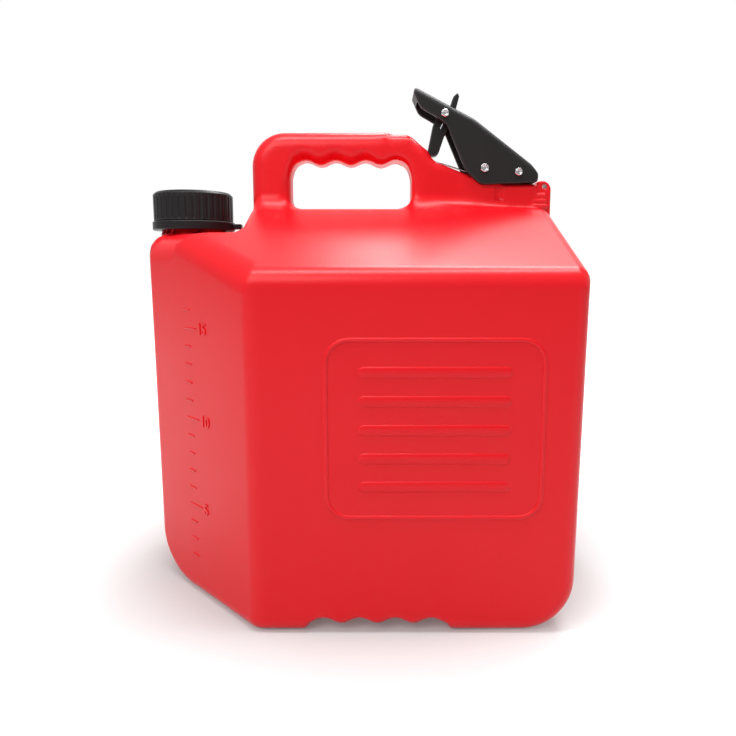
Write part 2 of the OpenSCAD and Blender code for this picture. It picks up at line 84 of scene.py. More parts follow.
# %% Camera at the photograph's place
PHOTO_PX = 736
FOCAL_PX = 625.9
EYE = (6.5, -548.0, 260.0)
TILT_DOWN = 7.74
SENSOR_MM, NEAREST_M = 36.0, 0.01
LENS_RIGHT_PX, LENS_UP_PX = 8.4, 18.6

camera = bpy.data.objects.new("camera", bpy.data.cameras.new("camera"))
bpy.context.scene.collection.objects.link(camera)
bpy.context.scene.camera = camera
camera.data.sensor_width = SENSOR_MM
camera.data.lens = SENSOR_MM * FOCAL_PX / PHOTO_PX
camera.data.shift_x = -LENS_RIGHT_PX / PHOTO_PX
camera.data.shift_y = -LENS_UP_PX / PHOTO_PX
camera.data.clip_start = NEAREST_M
camera.location = [c * MM for c in EYE]
camera.rotation_euler = (math.radians(90 - TILT_DOWN), 0, 0)
print("lens, mm:", round(camera.data.lens, 2))

# %% [markdown]
# ## Finishes
# Every finish is a small node tree on one Principled shader. Plastic looks like plastic because
# of three things: a slight drift of colour, a fine grain that breaks up the gloss, and edges
# that are polished paler by handling. The pieces carry a number called edge, worked out from
# their own curvature, so the wear follows the real edges from any side.

# %% Nodes, noise and ramps
def add_node(tree, kind, inputs=None, **settings):
    """One shader node with its settings and its input values."""
    made = tree.nodes.new(kind)
    for key, value in settings.items():
        setattr(made, key, value)
    for key, value in (inputs or {}).items():
        made.inputs[key].default_value = value
    return made


def grain(tree, scale, detail=2.0, stretch=(1, 1, 1)):
    """Noise on Object coordinates, stretched along the axes, as a value from 0 to 1."""
    place = add_node(tree, "ShaderNodeTexCoord")
    turn = add_node(tree, "ShaderNodeMapping", {"Scale": stretch})
    noise = add_node(tree, "ShaderNodeTexNoise", {"Scale": scale, "Detail": detail})
    tree.links.new(place.outputs["Object"], turn.inputs["Vector"])
    tree.links.new(turn.outputs["Vector"], noise.inputs["Vector"])
    return noise.outputs["Fac"]


def spread(tree, value, lo, hi, start=0.3, end=0.7):
    """A value that runs from lo to hi as another value runs from start to end."""
    ramp = add_node(tree, "ShaderNodeMapRange",
                    {"From Min": start, "From Max": end, "To Min": lo, "To Max": hi})
    tree.links.new(value, ramp.inputs["Value"])
    return ramp.outputs["Result"]


print("node helpers:", [made.__name__ for made in (add_node, grain, spread)])


# %% Sums, mixes and bumps
def maths(tree, operation, first, second=0.0):
    """One sum on two values, each a socket or a number."""
    made = add_node(tree, "ShaderNodeMath", operation=operation)
    for place, value in zip(made.inputs, (first, second)):
        if isinstance(value, float):
            place.default_value = value
        else:
            tree.links.new(value, place)
    return made.outputs["Value"]


def tint(tree, value, first, second):
    """A colour that goes from first to second with a value from 0 to 1."""
    mix = add_node(tree, "ShaderNodeMix", data_type="RGBA")
    tree.links.new(value, mix.inputs["Factor"])
    for socket, colour in (("A", first), ("B", second)):
        place = next(i for i in mix.inputs if i.name == socket and i.type == "RGBA")
        if isinstance(colour, tuple):
            place.default_value = (*colour, 1)
        else:
            tree.links.new(colour, place)
    return next(o for o in mix.outputs if o.type == "RGBA")


def dents(tree, value, depth):
    """The normal of a surface that rises by depth, in metres, as a value goes from 0 to 1."""
    bump = add_node(tree, "ShaderNodeBump", {"Strength": 1.0, "Distance": depth})
    tree.links.new(value, bump.inputs["Height"])
    return bump.outputs["Normal"]


print("mixing helpers:", [made.__name__ for made in (maths, tint, dents)])

# %% Plastic
PLASTIC_IOR, DRIFT_SCALE, SHEEN_SCALE = 1.5, 16.0, 30.0
RUBBED, ROUNDED_OFF = (0.15, 1.0), (0.25, 0.95)


def blank_finish(name):
    """A new material, its node tree and its Principled shader."""
    made = bpy.data.materials.new(name)
    made.use_nodes = True
    return made, made.node_tree, made.node_tree.nodes["Principled BSDF"]


def plastic(name, colour, drift, worn, rough, fine, fine_depth, wear=0.45, gloss=0.5, polish=0.9):
    """Moulded plastic: colour drifting to drift over a few cm, worn paler on edges, with a
    roughness from rough[0] to rough[1] and a grain of scale fine. Roundings are smoother than
    flats: their roughness goes down to a share called polish."""
    made, tree, shader = blank_finish(name)
    shader.inputs["IOR"].default_value = PLASTIC_IOR
    shader.inputs["Specular IOR Level"].default_value = gloss
    edge = add_node(tree, "ShaderNodeAttribute", attribute_name="edge").outputs["Fac"]
    rub = spread(tree, edge, 0.0, wear, *RUBBED)
    body = tint(tree, grain(tree, DRIFT_SCALE, 3.0), colour, drift)
    tree.links.new(tint(tree, rub, body, worn), shader.inputs["Base Color"])
    flat = spread(tree, grain(tree, SHEEN_SCALE, 1.0), *rough, 0.0, 1.0)
    round_share = spread(tree, maths(tree, "ABSOLUTE", edge), 1.0, polish, *ROUNDED_OFF)
    tree.links.new(maths(tree, "MULTIPLY", flat, round_share), shader.inputs["Roughness"])
    tree.links.new(dents(tree, grain(tree, fine), fine_depth), shader.inputs["Normal"])
    return made


print("patches of drifting colour, mm:", 1 / (DRIFT_SCALE * MM))

# %% Metal
DRAWN_SCALE, DRAWN_DEPTH, DULL = 900.0, 0.00002, 0.82


def metal(name, colour, rough, stretch):
    """Bright metal with a drawn grain: noise stretched along the way it was worked."""
    made, tree, shader = blank_finish(name)
    shader.inputs["Metallic"].default_value = 1.0
    drawn = grain(tree, DRAWN_SCALE, 3.0, stretch)
    dull = tuple(c * DULL for c in colour)
    mixed = tint(tree, spread(tree, drawn, 0.0, 1.0), colour, dull)
    tree.links.new(mixed, shader.inputs["Base Color"])
    tree.links.new(spread(tree, drawn, *rough), shader.inputs["Roughness"])
    tree.links.new(dents(tree, drawn, DRAWN_DEPTH), shader.inputs["Normal"])
    return made


print("lines in drawn metal, mm:", round(1 / (DRAWN_SCALE * MM), 2))

# %% The seven finishes of the can
FINISH = {
    "tank_red": plastic("tank_red", (0.780, 0.0030, 0.0100), (0.745, 0.0026, 0.0085),
                        (0.84, 0.030, 0.040), (0.31, 0.38), 620.0, 0.00003,
                        wear=0.15, gloss=0.30, polish=0.93),
    "cap_black": plastic("cap_black", (0.0095, 0.0082, 0.0088), (0.0125, 0.0110, 0.0118),
                         (0.048, 0.044, 0.046), (0.32, 0.44), 1400.0, 0.00004, gloss=0.22),
    "trigger_black": plastic("trigger_black", (0.0110, 0.0098, 0.0100), (0.0150, 0.0136, 0.0138),
                             (0.060, 0.056, 0.055), (0.38, 0.50), 1900.0, 0.00005, gloss=0.24),
    "hose_black": plastic("hose_black", (0.0180, 0.0175, 0.0175), (0.0250, 0.0240, 0.0240),
                          (0.06, 0.058, 0.056), (0.50, 0.64), 1500.0, 0.00006, gloss=0.3),
    "seal_rubber": plastic("seal_rubber", (0.0300, 0.0290, 0.0285), (0.0400, 0.0390, 0.0380),
                           (0.07, 0.07, 0.07), (0.70, 0.85), 1700.0, 0.00008, wear=0.3),
    "screw_steel": metal("screw_steel", (0.70, 0.70, 0.72), (0.18, 0.26), (1.0, 6.0, 1.0)),
    "spring_steel": metal("spring_steel", (0.58, 0.58, 0.61), (0.20, 0.26), (1.0, 1.0, 1.0)),
}
print("finishes:", sorted(FINISH))

# %% [markdown]
# ## From arrays to pieces
# A mesh is two arrays: points, and rows of four point numbers. The next helper hands both to
# Blender in one go, sets the exact normals where they are known, and puts the edge number on
# the points: how fast the normals open out along the mesh, so round edges score high.


# %% Edge number of a mesh
def edge_number(mesh, normals, radius):
    """Mean opening of the normals, (n2 - n1) . (p2 - p1) / |p2 - p1|^2, over a point's mesh
    edges, times a radius: 1 on a rounding of that radius, 0 on a flat, -1 in such a fillet."""
    points = np.empty(len(mesh.vertices) * 3, np.float32)
    ends = np.empty(len(mesh.edges) * 2, np.int32)
    mesh.vertices.foreach_get("co", points)
    mesh.edges.foreach_get("vertices", ends)
    points, (a, b) = points.reshape(-1, 3) / MM, ends.reshape(-1, 2).T
    step, turn = points[b] - points[a], normals[b] - normals[a]
    bend = (step * turn).sum(1) / np.maximum((step * step).sum(1), 1e-9)
    total, count = np.zeros(len(points)), np.zeros(len(points))
    for tip in (a, b):
        np.add.at(total, tip, bend)
        np.add.at(count, tip, 1)
    return np.clip(2 * radius * total / np.maximum(count, 1), -1, 1)


print("the edge number runs from -1 in a fillet to 1 on a rounding")

# %% Make a piece
SHARP_DEG, DOUBLE_M, THIN_M = 45, 1e-7, 1e-8


def make_piece(name, points, quads, body, slot, stands_for=(), normals=None, edge_r=2.0):
    """A mesh object at the origin from points in mm and rows of four (or three) point numbers."""
    mesh = bpy.data.meshes.new(name)
    sides = quads.shape[1]
    mesh.vertices.add(len(points))
    mesh.vertices.foreach_set("co", (points * MM).astype(np.float32).ravel())
    mesh.loops.add(quads.size)
    mesh.loops.foreach_set("vertex_index", quads.astype(np.int32).ravel())
    mesh.polygons.add(len(quads))
    mesh.polygons.foreach_set("loop_start", np.arange(0, quads.size, sides, dtype=np.int32))
    mesh.update(calc_edges=True)
    mesh.validate()
    piece = bpy.data.objects.new(name, mesh)
    bpy.context.scene.collection.objects.link(piece)
    if normals is None:
        mend = bmesh.new()
        mend.from_mesh(mesh)
        bmesh.ops.remove_doubles(mend, verts=mend.verts, dist=DOUBLE_M)
        bmesh.ops.dissolve_degenerate(mend, edges=mend.edges, dist=THIN_M)
        bmesh.ops.recalc_face_normals(mend, faces=mend.faces)
        mend.to_mesh(mesh)
        mend.free()
        mesh.shade_smooth()
        mesh.set_sharp_from_angle(angle=math.radians(SHARP_DEG))
        smooth = np.empty(len(mesh.vertices) * 3, np.float32)
        mesh.vertex_normals.foreach_get("vector", smooth)
        bends = edge_number(mesh, smooth.reshape(-1, 3), edge_r)
    else:
        mesh.shade_smooth()
        mesh.normals_split_custom_set_from_vertices(normals.astype(np.float32))
        bends = edge_number(mesh, normals, edge_r)
    worn = mesh.attributes.new("edge", "FLOAT", "POINT")
    worn.data.foreach_set("value", bends.astype(np.float32))
    return place_piece(piece, body, slot, stands_for)


print("edges of turned pieces stay sharp past", SHARP_DEG, "degrees")


# %% Place a piece
def place_piece(piece, body, slot, stands_for=()):
    """Lets a finished piece ride on its body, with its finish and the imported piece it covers.
    A piece that bends between two bodies has no body of its own."""
    piece.data.materials.clear()
    piece.data.materials.append(FINISH[slot])
    if body:
        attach(piece, body)
    if stands_for:
        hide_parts(*stands_for)
    lo, hi = (np.array(piece.bound_box).min(0) / MM, np.array(piece.bound_box).max(0) / MM)
    print(f"{piece.name}: {len(piece.data.polygons)} faces, {lo.round(1)} to {hi.round(1)} mm")
    return piece


print("piece helpers:", [made.__name__ for made in (edge_number, make_piece, place_piece)])

# %% [markdown]
# ## Moulded forms as distance fields
# The tank is one blown skin: walls, roof, handle and ridge run into each other over soft
# roundings. Separate grids would leave hard seams where they meet, so this piece is made
# another way. A field gives every point its distance to the skin, negative inside, together
# with the direction in which that distance grows. Joining two fields with a radius gives an
# exact rounding, whatever the angle between the two surfaces.

# %% Flat forms: a distance and its direction for each point
UP, DOWN = (0, 0, 1), (0, 0, -1)


def unit(v):
    """The direction of a vector."""
    return np.asarray(v, float) / np.linalg.norm(v)


def plane(p, at, out):
    """Half space below a plane: out . (p - at), with out made one long."""
    n = unit(out)
    return (p - np.asarray(at, float)) @ n, np.broadcast_to(n, p.shape)


def slab(p, axis, lo, hi):
    """Between two planes across an axis: |x - middle| - half the thickness."""
    off = p[:, axis] - (lo + hi) / 2
    out = np.zeros(p.shape)
    out[:, axis] = np.where(off < 0, -1.0, 1.0)
    return np.abs(off) - (hi - lo) / 2, out


probe = np.array([[3.0, 4.0, 7.0]])
print("a probe is this far above a floor, mm:", plane(probe, (0, 0, 0), UP)[0])


# %% Round forms
def around(off, radius):
    """Round a core that lies off away from each point: the length of off, less the radius."""
    far = np.linalg.norm(off, axis=1)
    return far - radius, off / np.maximum(far, 1e-9)[:, None]


def bar(p, at, axis, radius):
    """Endless round bar along an axis: distance from its centre line, less the radius."""
    off = p - np.asarray(at, float)
    off[:, axis] = 0
    return around(off, radius)


def pill(p, a, b, radius):
    """Round bar with ball ends: distance from the line from a to b, less the radius."""
    a, b = np.asarray(a, float), np.asarray(b, float)
    share = np.clip((p - a) @ (b - a) / ((b - a) @ (b - a)), 0, 1)
    return around(p - a - share[:, None] * (b - a), radius)


def under_waves(p, level, height, pitch, first):
    """Under z = level + height cos(2 pi (x - first) / pitch): the rise above that curve over
    sqrt(1 + slope^2)."""
    turn = 2 * np.pi / pitch
    angle = turn * (p[:, 0] - first)
    steep = -height * turn * np.sin(angle)
    long = np.sqrt(1 + steep * steep)
    out = np.column_stack([-steep, np.zeros(len(p)), np.ones(len(p))]) / long[:, None]
    return (p[:, 2] - (level + height * np.cos(angle))) / long, out


print("the probe is this far from a bar, mm:", bar(probe, (0, 0, 0), 2, 2.0)[0])

# %% Outlines drawn in a side view
LEAST_R, STRAIGHT = 0.01, 1.55


def rounded(corners, step=7.0):
    """Closed outline: each corner (x, z, r) becomes an arc of radius r that touches both sides."""
    c = np.array(corners, float)
    parts = []
    for a, b, d, r in zip(np.roll(c[:, :2], 1, 0), c[:, :2], np.roll(c[:, :2], -1, 0), c[:, 2]):
        u, v = unit(a - b), unit(d - b)
        half = math.acos(max(-1, min(1, u @ v))) / 2
        if r < LEAST_R or half > STRAIGHT:
            parts.append(b[None])
            continue
        mid = b + unit(u + v) * r / math.sin(half)
        start, end = b + u * r / math.tan(half) - mid, b + v * r / math.tan(half) - mid
        turn = math.pi - 2 * half
        side = np.sign(start[0] * end[1] - start[1] * end[0])
        t = side * np.linspace(0, turn, max(2, int(math.degrees(turn) / step) + 1) + 1)
        parts.append(mid + np.column_stack([start[0] * np.cos(t) - start[1] * np.sin(t),
                                            start[0] * np.sin(t) + start[1] * np.cos(t)]))
    return np.vstack(parts)


def within(p, outline, axes=(0, 2)):
    """Inside a closed outline drawn on two axes: distance to its nearest edge, negative where
    a line to one side crosses the outline an odd number of times. On the outline itself the
    direction is the edge's own."""
    q, ends = p[:, axes], np.roll(outline, -1, 0)
    best, off, square = np.full(len(q), np.inf), np.zeros(q.shape), np.zeros(q.shape)
    inside = np.zeros(len(q), bool)
    turn = np.sign((outline[:, 0] * ends[:, 1] - ends[:, 0] * outline[:, 1]).sum())
    for a, b in zip(outline, ends):
        way, from_a = b - a, q - a
        v = from_a - np.clip(from_a @ way / (way @ way), 0, 1)[:, None] * way
        far = (v * v).sum(1)
        closer = far < best
        best[closer], off[closer] = far[closer], v[closer]
        square[closer] = turn * np.array([way[1], -way[0]]) / np.linalg.norm(way)
        if a[1] != b[1]:
            over = (a[1] > q[:, 1]) != (b[1] > q[:, 1])
            inside ^= over & (from_a[:, 0] < from_a[:, 1] * way[0] / way[1])
    far, sign = np.sqrt(best), np.where(inside, -1.0, 1.0)
    away = off * (sign / np.maximum(far, 1e-9))[:, None]
    out = np.zeros(p.shape)
    out[:, axes] = np.where(far[:, None] < 1e-5, square, away)
    return sign * far, out


square_line = rounded([(0, 0, 5), (20, 0, 5), (20, 20, 5), (0, 20, 5)])
print("points on a square with round corners:", len(square_line))


# %% Joining fields
def join(a, b, r):
    """Inside both, with the edge rounded to r. Moved in by r, the surfaces are e and f away and
    c is the cosine between them; off the edge the distance is sqrt((ee + ff - 2cef) / (1 - cc))."""
    (da, ga), (db, gb) = a, b
    e, f = da + r, db + r
    c = np.clip((ga * gb).sum(1), -0.99, 0.99)
    le, lf = (e - c * f) / (1 - c * c), (f - c * e) / (1 - c * c)
    edge = (le > 0) & (lf > 0)
    far = np.sqrt(np.maximum(e * le + f * lf, 1e-12))
    out = np.where((e >= f)[:, None], ga, gb)
    out = np.where(edge[:, None], (le[:, None] * ga + lf[:, None] * gb) / far[:, None], out)
    return np.where(edge, far, np.maximum(e, f)) - r, out


def flip(a):
    """The same surface with inside and outside swapped."""
    return -a[0], -a[1]


def merge(a, b, r):
    """Inside either, with a hollow rounding of radius r where they meet."""
    return flip(join(flip(a), flip(b), r))


def carve(a, b, r):
    """Inside a and outside b, with the cut's edge rounded to r."""
    return join(a, flip(b), r)


corner = np.zeros((1, 3))
cut = join(plane(corner, (0, 0, 0), (1, 0, 0)), plane(corner, (0, 0, 0), UP), 10.0)[0]
print("a 10 mm rounding takes this off a square corner, mm:", cut.round(2))


# %% Forms that come back often
def near(p, box, form):
    """A form worked out only for points in a box around it, and far away elsewhere."""
    lo, hi = np.asarray(box, float)
    here = np.all((p > lo) & (p < hi), axis=1)
    far, out = np.full(len(p), 1e3), np.zeros(p.shape)
    out[:, 2] = 1.0
    if here.any():
        far[here], out[here] = form(p[here])
    return far, out


def disc(p, at, axis, radius, lo, hi, r):
    """A round bar along an axis from lo to hi, with its rims rounded to r."""
    return join(bar(p, at, axis, radius), slab(p, axis, lo, hi), r)


def drill(p, at, axis, radius, start, way, r):
    """A round bar along an axis that begins at start and goes on in the way 1 or -1."""
    along = np.eye(3)[axis]
    return join(bar(p, at, axis, radius), plane(p, start * along, -way * along), r)


def mirrored(half):
    """Both sides of the middle plane share one field: it is worked out with y made positive,
    and on the other side the y of its direction is turned back."""
    def field(p):
        q = p.copy()
        q[:, 1] = np.abs(q[:, 1])
        far, out = half(q)
        side, one = np.where(p[:, 1] < 0, -1.0, 1.0), np.ones(len(p))
        return far, out * np.column_stack([one, side, one])
    return field


def ease(x, start, end):
    """Smooth step from 0 at start to 1 at end: 3tt - 2ttt."""
    t = np.clip((x - start) / (end - start), 0, 1)
    return t * t * (3 - 2 * t)


print("a smooth step at its quarters:", ease(np.linspace(0, 1, 5), 0, 1).round(3))

# %% [markdown]
# ## A skin over a field
# To draw the skin, space is cut into small boxes. Each box that the skin passes through gets
# one point, and each grid line that pierces the skin gets one four-sided face. The points are
# then pushed along the field until they lie on the skin. The grid lines are closer together
# where the moulding has small detail, and only boxes near the skin are looked at.


# %% Grid lines
def grid_lines(lo, hi, step, finer=()):
    """Positions along one axis, step apart, and closer in each (from, to, step) of finer."""
    stops = sorted({lo, hi, *[v for a, b, _ in finer for v in (a, b) if lo < v < hi]})
    parts = [np.array([lo])]
    for a, b in zip(stops, stops[1:]):
        here = min([s for f, t, s in finer if f <= (a + b) / 2 <= t], default=step)
        parts.append(np.linspace(a, b, max(1, round((b - a) / here)) + 1)[1:])
    return np.concatenate(parts)


def even_grid(lo, hi, steps):
    """Grid lines (x, y, z) between two corners, with one step for each axis."""
    return tuple(grid_lines(*row) for row in zip(lo, hi, steps))


print("lines that close up round 10:", grid_lines(0, 20, 5, [(8, 12, 1)]))

# %% Distances near the skin
BOX_CORNERS = np.array([[i, j, k] for i in (0, 1) for j in (0, 1) for k in (0, 1)])


def near_values(field, lines, block=4, margin=1.25):
    """Distances on the grid, worked out in full only in blocks that the skin can reach: a block
    further from the skin than margin times its diagonal keeps the value of its corner."""
    size = [len(v) for v in lines]
    picks = [np.unique(np.r_[0:n:block, n - 1]) for n in size]
    rough = np.stack(np.meshgrid(*[v[i] for v, i in zip(lines, picks)], indexing="ij"), -1)
    far = field(rough.reshape(-1, 3))[0].reshape(rough.shape[:3])
    spans = [np.diff(v[i]) for v, i in zip(lines, picks)]
    wide = np.sqrt(spans[0][:, None, None] ** 2 + spans[1][:, None] ** 2 + spans[2] ** 2)
    n = np.array(far.shape) - 1
    worst = np.max([np.abs(far[i:i + n[0], j:j + n[1], k:k + n[2]]) for i, j, k in BOX_CORNERS], 0)
    home = [np.clip(np.searchsorted(i, np.arange(m), "right") - 1, 0, len(i) - 2)
            for i, m in zip(picks, size)]
    values = far[np.ix_(*home)]
    cells = (worst < margin * wide)[np.ix_(*[h[:-1] for h in home])]
    wanted = np.zeros(size, bool)
    for i, j, k in BOX_CORNERS:
        wanted[i:size[0] - 1 + i, j:size[1] - 1 + j, k:size[2] - 1 + k] |= cells
    at = np.argwhere(wanted)
    points = np.column_stack([lines[axis][at[:, axis]] for axis in range(3)])
    values[wanted] = field(points)[0]
    return values


print("a box has", len(BOX_CORNERS), "corners")

# %% Skin
BOX_EDGES = np.array([(a, a | bit) for a in range(8) for bit in (1, 2, 4) if not a & bit])


def skin(field, lines, rounds=6, miss=0.1):
    """Points, faces and exact normals of the surface where a field is zero."""
    d = near_values(field, lines)
    inside, n = d < 0, np.array(d.shape) - 1
    held = sum(inside[i:i + n[0], j:j + n[1], k:k + n[2]].astype(int) for i, j, k in BOX_CORNERS)
    cells = np.argwhere((held > 0) & (held < 8))
    number = np.full(n, -1)
    number[tuple(cells.T)] = np.arange(len(cells))
    at = cells[:, None] + BOX_CORNERS
    value = d[at[..., 0], at[..., 1], at[..., 2]]
    place = np.stack([lines[axis][at[..., axis]] for axis in range(3)], -1)
    a, b = BOX_EDGES.T
    cut = (value[:, a] < 0) != (value[:, b] < 0)
    gap = np.where(cut, value[:, a] - value[:, b], 1.0)
    share = np.where(cut, value[:, a] / gap, 0.0)[..., None]
    hits = place[:, a] + share * (place[:, b] - place[:, a])
    points = (hits * cut[..., None]).sum(1) / cut.sum(1)[:, None]
    faces = []
    for axis in range(3):
        u, w = np.eye(3, dtype=int)[(axis + 1) % 3], np.eye(3, dtype=int)[(axis + 2) % 3]
        low, high = inside.take(range(n[axis]), axis), inside.take(range(1, n[axis] + 1), axis)
        spots = np.argwhere(low != high)
        ring = np.stack([number[tuple((spots - s).T)] for s in (u + w, w, 0 * u, u)], 1)
        outward = low[tuple(spots.T)][:, None]
        faces.append(np.where(outward, ring, ring[:, ::-1]))
    reach, found = max(float(np.diff(v).max()) for v in lines), points
    for _ in range(rounds):
        far, out = field(points)
        points = points - np.clip(far, -reach, reach)[:, None] * out
    points = np.where(np.abs(field(points)[0])[:, None] < miss, points, found)
    out = field(points)[1]
    return points, np.vstack(faces), out / np.maximum(np.linalg.norm(out, axis=1), 1e-9)[:, None]


def field_piece(name, field, grid, body, slot, stands_for, edge_r=2.0):
    """A piece from a field and the grid lines (x, y, z) that it is drawn on."""
    points, faces, normals = skin(field, grid)
    return make_piece(name, points, faces, body, slot, stands_for, normals, edge_r)


print("and", len(BOX_EDGES), "edges that the skin can cut")

# %% [markdown]
# ## The tank
# Its walls are planes: flat front and back, two slanted panels towards the filler, a roof that
# falls both ways from the crest, and a flat seat round the filler neck. The two bottom ends are
# rolled up with a large radius. The carrying handle and the ridge for the trigger stand on the
# crest, and the hand hole has waves for four fingers.

# %% Walls, roof and seat of the tank
TANK_LO, TANK_HI = box_mm("tank")
LEFT, RIGHT, HALF_W = TANK_LO[0] + 3.5, 150.0, TANK_HI[1]
PANEL_X, SHOULDER_Z, PEAK_Z, CREST_Z, SEAT_Z = -80.0, 255.0, 313.9, 305.6, 284.0
SLOPE, DRAFT = (PEAK_Z - SHOULDER_Z) / HALF_W, 0.011
BOTTOM_R, EDGE_R, PANEL_R, END_R, STEP_R, RIM_R = 38.0, 15.0, 22.0, 9.0, 5.0, 6.0
HANDLE_X, HANDLE_Z, HANDLE_T = -98.0, TANK_HI[2], 32.0


def walls_and_roof(q):
    """Planes joined in turn: side view, then front and panels, then crest, roof and seat. Both
    ends lean in by DRAFT below the shoulder, as a mould needs. The edge of the roof has EDGE_R,
    and goes over to END_R on the right end and to PANEL_R on the slanted panels."""
    left_end = plane(q, (LEFT, 0, SHOULDER_Z), (-1, 0, -DRAFT))
    right_end = plane(q, (RIGHT, 0, SHOULDER_Z), (1, 0, -DRAFT))
    side = join(join(left_end, plane(q, (0, 0, 0), DOWN), BOTTOM_R), right_end, BOTTOM_R)
    front = plane(q, (0, HALF_W, 0), (0, 1, 0))
    panel = plane(q, (PANEL_X, HALF_W, 0), (-1, 1, 0))
    lower = join(join(front, panel, EDGE_R), side, END_R)
    roof = plane(q, (0, HALF_W, SHOULDER_Z), (0, SLOPE, 1))
    crest = plane(q, (0, 0, CREST_Z), UP)
    seat = merge(plane(q, (0, 0, SEAT_Z), UP), plane(q, (HANDLE_X, 0, 0), (-1, 0, 0)), STEP_R)
    upper = join(join(crest, roof, EDGE_R), seat, RIM_R)
    towards_end = np.clip(lower[1][:, 0], 0, 1) ** 2
    slanted = 4 * lower[1][:, 0] ** 2 * lower[1][:, 1] ** 2
    edge_r = EDGE_R + (END_R - EDGE_R) * towards_end + (PANEL_R - EDGE_R) * slanted
    return join(lower, upper, edge_r)


print("tank walls, mm:", np.round([LEFT, RIGHT, HALF_W], 1), "roof slope:", round(SLOPE, 3))

# %% Handle, hand hole and ridge
RIDGE_H, RIDGE_Z = 10.5, 327.0
HOLE_X, HOLE_Z, HOLE_R = (-65.4, 35.7), 344.0, 12.0
FINGER, WAVE = 25.2, 2.0
THIN_FROM, THIN_TO = 42, 76
CREST_LINE = rounded([
    (HANDLE_X, 280, 0), (HANDLE_X, HANDLE_Z, 28), (16.2, HANDLE_Z, 1.5), (18.6, 367.0, 1.5),
    (34.0, 366.8, 12), (45.5, 356.8, 20), (49.2, 354.0, 3), (52.4, 348.4, 3), (56.0, 345.0, 4),
    (64.8, 341.8, 15), (82.0, 335.0, 40), (101.0, 328.8, 30),
    (112.0, RIDGE_Z, 20), (140.0, RIDGE_Z, 3), (142.6, 318, 0), (142.6, 280, 0)])


def handle_and_ridge(q):
    """The side outline made as thick as the handle, thinning to the ridge, less the hand hole:
    its top follows z = HOLE_Z + WAVE cos(2 pi (x - first finger) / FINGER). The roundings get
    smaller to the right, where less wall is left beside the hole."""
    x = q[:, 0]
    t = np.clip((x - THIN_FROM) / (THIN_TO - THIN_FROM), 0, 1)
    thinned = ease(x, THIN_FROM, THIN_TO)
    lean = -(HANDLE_T / 2 - RIDGE_H) * (6 * t * (1 - t) / (THIN_TO - THIN_FROM))
    long = np.sqrt(1 + lean * lean)
    half = HANDLE_T / 2 + (RIDGE_H - HANDLE_T / 2) * thinned
    sides = ((q[:, 1] - half) / long,
             np.column_stack([-lean, np.ones(len(q)), np.zeros(len(q))]) / long[:, None])
    top_r = 13.0 - 3.5 * ease(x, 0, 28) - 5.5 * thinned
    hole_r = 10.5 - 5.0 * ease(x, -15, 22)
    upper = join(within(q, CREST_LINE), sides, top_r)
    fingers = under_waves(q, HOLE_Z, WAVE, FINGER, HOLE_X[0] + FINGER / 2)
    return carve(upper, join(slab(q, 0, *HOLE_X), fingers, HOLE_R), hole_r)


print("hand hole, mm:", round(HOLE_X[1] - HOLE_X[0], 1), "wide, fingers", FINGER, "apart")

# %% Small forms of the moulding
PIVOT, LATCH = joint_mm("trigger_press"), joint_mm("latch_swing")
SPOUT, ROD_X = joint_mm("spout_swing"), 124.2
NECK_X, NECK_TOP, NECK_R, NECK_BORE, COLLAR_R = joint_mm("cap_turn")[0], 311.0, 26.0, 22.0, 27.3
EAR_X, EAR_Z, EAR_T, EYE_R, EAR_RIBS = 148.1, 324.9, 16.4, 2.25, 3
EAR = rounded([(136, 296, 0), (TANK_HI[0], 296, 0), (TANK_HI[0], 329.6, 7.5), (141.9, 329.6, 2.5),
               (141.9, 322, 0), (136, 322, 0)])


def tie_down_ear(q):
    """A plate with a round hole, cut off slanted below, and three short ribs on each side."""
    plate = join(within(q, EAR), slab(q, 1, -EAR_T / 2, EAR_T / 2), 1.6)
    plate = join(plate, plane(q, (RIGHT - 1, 0, 270), (36.5, 0, -14)), 1.5)
    for i in range(EAR_RIBS):
        y, z = 9.4 - 0.6 * i, 308.6 + 4.3 * i
        plate = merge(plate, pill(q, (139, y, z), (148.7 - 0.6 * i, y, z), 2.1), 0.7)
    return carve(plate, bar(q, (EAR_X, 0, EAR_Z), 1, EYE_R), 0.5)


def pivot_boss(q):
    """The block on the ridge that the trigger turns on: round above its pivot, square below."""
    foot = join(slab(q, 0, PIVOT[0] - 9.4, PIVOT[0] + 9.4), plane(q, PIVOT, UP), 0)
    lug = merge(bar(q, PIVOT, 1, 10.0), foot, 0)
    return join(lug, slab(q, 1, -RIDGE_H + 0.1, RIDGE_H - 0.1), 0.8)


def grip_channel(q):
    """Under a waved curve between two slanted ends, right across the bottom."""
    fingers = under_waves(q, 8.5, 1.8, FINGER + 0.3, -31)
    ends = join(plane(q, (-44.5, 0, 0), (-9, 0, 5)), plane(q, (59.5, 0, 0), (9, 0, 4)), 0)
    return join(fingers, ends, 3.0)


def filler_neck(q):
    """Two rings on the seat, one inside the other; the bore is cut later."""
    neck = disc(q, (NECK_X, 0, 0), 2, NECK_R, 266.0, NECK_TOP, 0.8)
    return merge(neck, disc(q, (NECK_X, 0, 0), 2, COLLAR_R, 276.0, 286.5, 0.8), 0.8)


print("pivots of trigger, latch and spout, mm:", PIVOT.round(1), LATCH.round(1), SPOUT.round(1))

# %% The whole moulding
BOSS_R, ROD_BORE, FLUTE_R, SLOT_HALF = 31.0, 4.8, 5.0, (13, 4.6)


